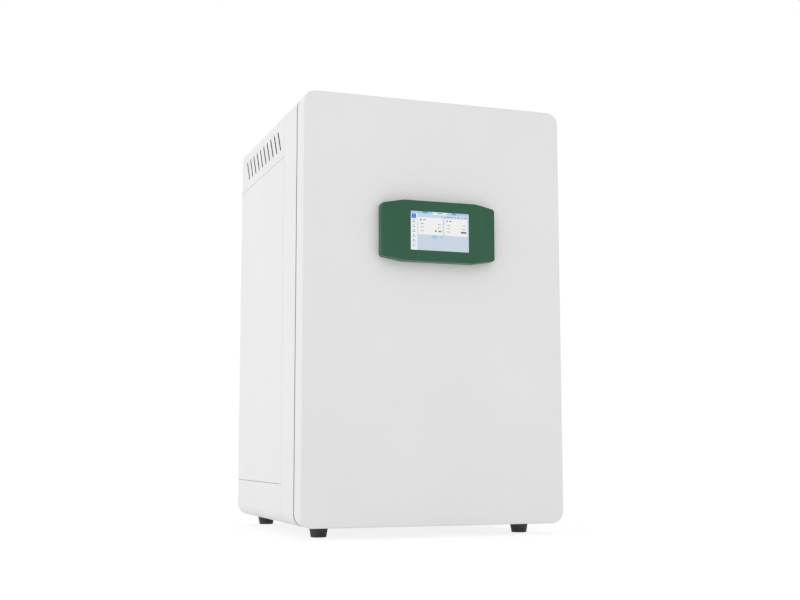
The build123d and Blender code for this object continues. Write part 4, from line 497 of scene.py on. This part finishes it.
def pleats(centre, outer, low_z, high_z, count=96, depth=9.0):
    """Folded filter paper: a zigzag ring, r = R - depth on every other one of 2 n points."""
    step = np.arange(2 * count)
    r = outer - depth * (step % 2)
    turn = np.pi * step / count
    x, y = centre[0] + r * np.cos(turn), centre[1] + r * np.sin(turn)
    rows = [np.stack([x, y, np.full_like(x, z)], axis=-1) for z in (low_z, high_z)]
    return np.concatenate(rows), quads(2, 2 * count, ring_columns=True), 0


# Filter capsule: pleated paper between two moulded caps, the upper one open to the intake
low, high = box_mm("hepa_filter")
centre, outer = (low + high) / 2, (high[0] - low[0]) / 2
cap, rim, closed, intake, pleat_inset, sunk = 4.0, 1.0, 0.5, 44.0, 2.5, 0.5
caps = [
    [(inner, base), (outer - rim, base), (outer, base + rim), (outer, base + cap - rim),
     (outer - rim, base + cap), (inner, base + cap)]
    for inner, base in ((closed, low[2]), (intake, high[2] - cap))
]
filter_capsule = piece("filter_capsule", [
    pleats(centre, outer - pleat_inset, low[2] + cap - sunk, high[2] - cap + sunk),
    *[turned_profile(cap_profile, centre, 1) for cap_profile in caps],
], [finishes["filter_medium"], finishes["white_plastic"]], "cabinet", sharp_degrees=20)
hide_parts("hepa_filter")


# The lit menu: flat shapes in close layers, in the screen's own millimetres from its top left corner
SCREEN_WIDTH, SCREEN_HEIGHT, LAYER = 126.0, 79.2, 0.02
display_colours = {
    "ground": "C6D4E0", "header": "A9C9EC", "header_shape": "4F9BE0", "tab": "DCEAF8",
    "tab_mark": "7F93B8", "sidebar": "E9EEF4", "tile": "1F62D6", "tile_mark": "A8C4F4",
    "item": "8E99A8", "status": "76808E", "card_edge": "D9DADB", "card": "EFEEEC", "icon": "3B82E6",
    "heading": "4A505A", "row_mark": "8A919B", "value": "9AA1AB", "toggle": "18A94A",
    "toggle_on": "35B95E", "reading": "4B5568", "watermark": "9CC6E6", "watermark_pale": "B4CDE2",
    "rule": "B2C6DA",
}


def outline(layer, colour, corners):
    """One flat face through corners (u, v): x = x0 + u, z = z0 - v, y a layer before the glass."""
    low, high = box_mm("display_screen")
    u, v = np.array(corners, dtype=float).T
    points = np.stack([u - SCREEN_WIDTH / 2, np.full_like(u, low[1] - LAYER * layer),
                       (low[2] + high[2]) / 2 + SCREEN_HEIGHT / 2 - v], axis=-1)
    return points, [range(len(u))], list(display_colours).index(colour)


def label(layer, colour, u, v, width, height, corner=0.0):
    """A rectangle of the menu, its corners rounded by (cos t, sin t) where a radius is given."""
    if not corner:
        return outline(layer, colour, [(u, v), (u, v + height), (u + width, v + height), (u + width, v)])
    path, _ = rounded_path(width / 2, height / 2, corner, steps=4)
    return outline(layer, colour, (path * (1, -1) + (u + width / 2, v + height / 2)))


header, bar, pitch = 4.6, 14.4, 9.9
menu = [
    label(1, "ground", 0, 0, SCREEN_WIDTH, SCREEN_HEIGHT),
    label(2, "header", 0, 0, SCREEN_WIDTH, header),
    outline(3, "header_shape", [(24, 0), (27, 3.4), (34, 3.4), (38, 0)]),
    outline(3, "header_shape", [(88, 0), (92, 4.2), (100, 4.2), (96, 0)]),
    outline(3, "tab", [(46, 0), (49, 6.0), (77, 6.0), (80, 0)]),
    label(4, "tab_mark", 57, 1.6, 12, 1.8),
    label(3, "sidebar", 0, header, bar, SCREEN_HEIGHT - header),
    label(4, "tile", 1.8, 5.4, 9.6, 9.2, 1.2),
    label(5, "tile_mark", 5.6, 7.6, 2.0, 2.0, 0.6),
    label(5, "tile_mark", 4.4, 11.4, 4.4, 0.8),
    *[label(4, "item", 5.6, 17.6 + pitch * i, 2.6, 2.6, 0.5) for i in range(6)],
    *[label(4, "item", 3.6, 21.6 + pitch * i, 6.6, 1.3) for i in range(6)],
    *[label(4, "status", u, 8.2, width, 1.4)
      for u, width in ((66, 2.6), (72, 20), (94, 3.4), (100.5, 6), (110, 3), (116, 6))],
    label(5, "toggle", 51.6, 37.2, 4.6, 3.6, 1.6),
    label(5, "toggle_on", 59.0, 37.2, 7.6, 3.6, 1.7),
    label(5, "reading", 109.0, 37.2, 11.6, 3.2, 0.4),
    outline(2, "watermark", [(46, 47.6), (44.5, 51.5), (51, 57.0), (58, 51.0), (57, 47.6)]),
    outline(2, "watermark_pale", [(62, 48.4), (61, 51.0), (66.5, 55.5), (72, 51.0), (71, 48.4)]),
    label(2, "watermark_pale", 38, 60.4, 8.0, 1.6),
    label(3, "rule", 15.4, 76.0, 108, 0.35),
    label(3, "rule", 122.6, 11.6, 0.3, 64.4),
]
row_pitch = 7.0
for u, width in ((16.0, 53.0), (72.6, 50.4)):
    menu += [
        label(3, "card_edge", u - 0.5, 11.6, width + 1.0, 35.6, 1.4),
        label(4, "card", u, 12.0, width, 34.8, 1.2),
        label(5, "icon", u + 4.2, 15.2, 3.4, 3.4, 0.6),
        label(5, "heading", u + 11.0, 16.0, 4.6, 1.8),
        *[label(5, "row_mark", u + 4.0, 24.4 + row_pitch * k, 1.4, 1.4, 0.4) for k in range(3)],
        *[label(5, "row_mark", u + 6.6, 24.4 + row_pitch * k, 5.2, 1.4) for k in range(3)],
        *[label(5, "value", u + width - 11.0, 24.2 + row_pitch * k, 6.6, 1.5) for k in range(2)],
    ]
piece("display_menu", menu, [lit_display("display_" + name, colour)
                             for name, colour in display_colours.items()],
      "outer_door", sharp_degrees=0)


# Stage, light and camera
def seen_rays(tree):
    """1 for camera, glossy and transmission rays, which carry the white ground to the eye."""
    path = add(tree, "LightPath")
    seen = add(tree, "Math", {"operation": "MAXIMUM"}, i0=path.outputs["Is Camera Ray"],
               i1=path.outputs["Is Glossy Ray"])
    return add(tree, "Math", {"operation": "MAXIMUM"}, i0=seen.outputs[0],
               i1=path.outputs["Is Transmission Ray"]).outputs[0]


def studio_floor():
    """Pale matt paper. Seen rays meet a darker grey in a glow of 0.86.

    Together they are white in full light, and the matt share keeps the object's soft shadow.
    """
    material, tree = blank("pale_paper_sweep")
    seen = seen_rays(tree)
    paper = add(tree, "Mix", COLOURS, i0=seen, i6=srgb("F8F8F8"), i7=srgb("707070"))
    matt = add(tree, "BsdfDiffuse", Color=paper.outputs[2])
    level = add(tree, "MapRange", i0=seen, i4=0.86)
    glow = add(tree, "Emission", Color=srgb("FFFFFF"), Strength=level.outputs[0])
    both = add(tree, "AddShader", i0=matt.outputs[0], i1=glow.outputs[0])
    add(tree, "OutputMaterial", Surface=both.outputs[0])
    return material


half_floor, floor_drop = 9.0, 0.4 * MM
floor_mesh = bpy.data.meshes.new("floor")
floor_mesh.from_pydata([(-half_floor, -half_floor, 0), (half_floor, -half_floor, 0),
                        (half_floor, half_floor, 0), (-half_floor, half_floor, 0)], [], [(0, 1, 2, 3)])
floor_mesh.materials.append(studio_floor())
floor = placed("floor", floor_mesh)
floor.location.z = -floor_drop

# White surround: 0.91 lights the object, and seen rays meet full white
world = bpy.data.worlds.new("studio")
world.use_nodes = True
bpy.context.scene.world = world
sky = world.node_tree
sky.nodes.clear()
level = add(sky, "MapRange", i0=seen_rays(sky), i3=0.91, i4=1.0)
background = add(sky, "Background", Color=srgb("FFFFFF"), Strength=level.outputs[0])
add(sky, "OutputWorld", Surface=background.outputs[0])


def softbox(name, place, target, size, power):
    """A rectangular studio lamp aimed at a point, in metres and watts."""
    lamp_data = bpy.data.lights.new(name, "AREA")
    lamp_data.shape = "RECTANGLE"
    lamp_data.size, lamp_data.size_y = size
    lamp_data.energy = power
    lamp = placed(name, lamp_data)
    lamp.location = place
    lamp.rotation_euler = (Vector(target) - Vector(place)).to_track_quat("-Z", "Y").to_euler()


softbox("left_softbox", (-3.2, -0.4, 0.7), (0, 0, 0.35), (2.4, 1.3), 8)

# The photograph's view: focal length and frame in pixels, place in metres, turns in degrees
focal_px, frame_px, sensor_mm = 1227.19, 800, 36.0
pitch_up, roll, turn_left = 6.811, 0.042, -19.467
camera_data = bpy.data.cameras.new("camera")
camera_data.sensor_fit = "HORIZONTAL"
camera_data.sensor_width = sensor_mm
camera_data.lens = focal_px / frame_px * sensor_mm
camera_data.clip_start = 0.05
camera_data.clip_end = 60
camera = placed("camera", camera_data)
camera.location = (-0.89298, -2.59118, 0.17872)
camera.rotation_euler = (radians(90 + pitch_up), radians(roll), radians(turn_left))
bpy.context.scene.camera = camera
bpy.context.scene.view_settings.view_transform = "Standard"
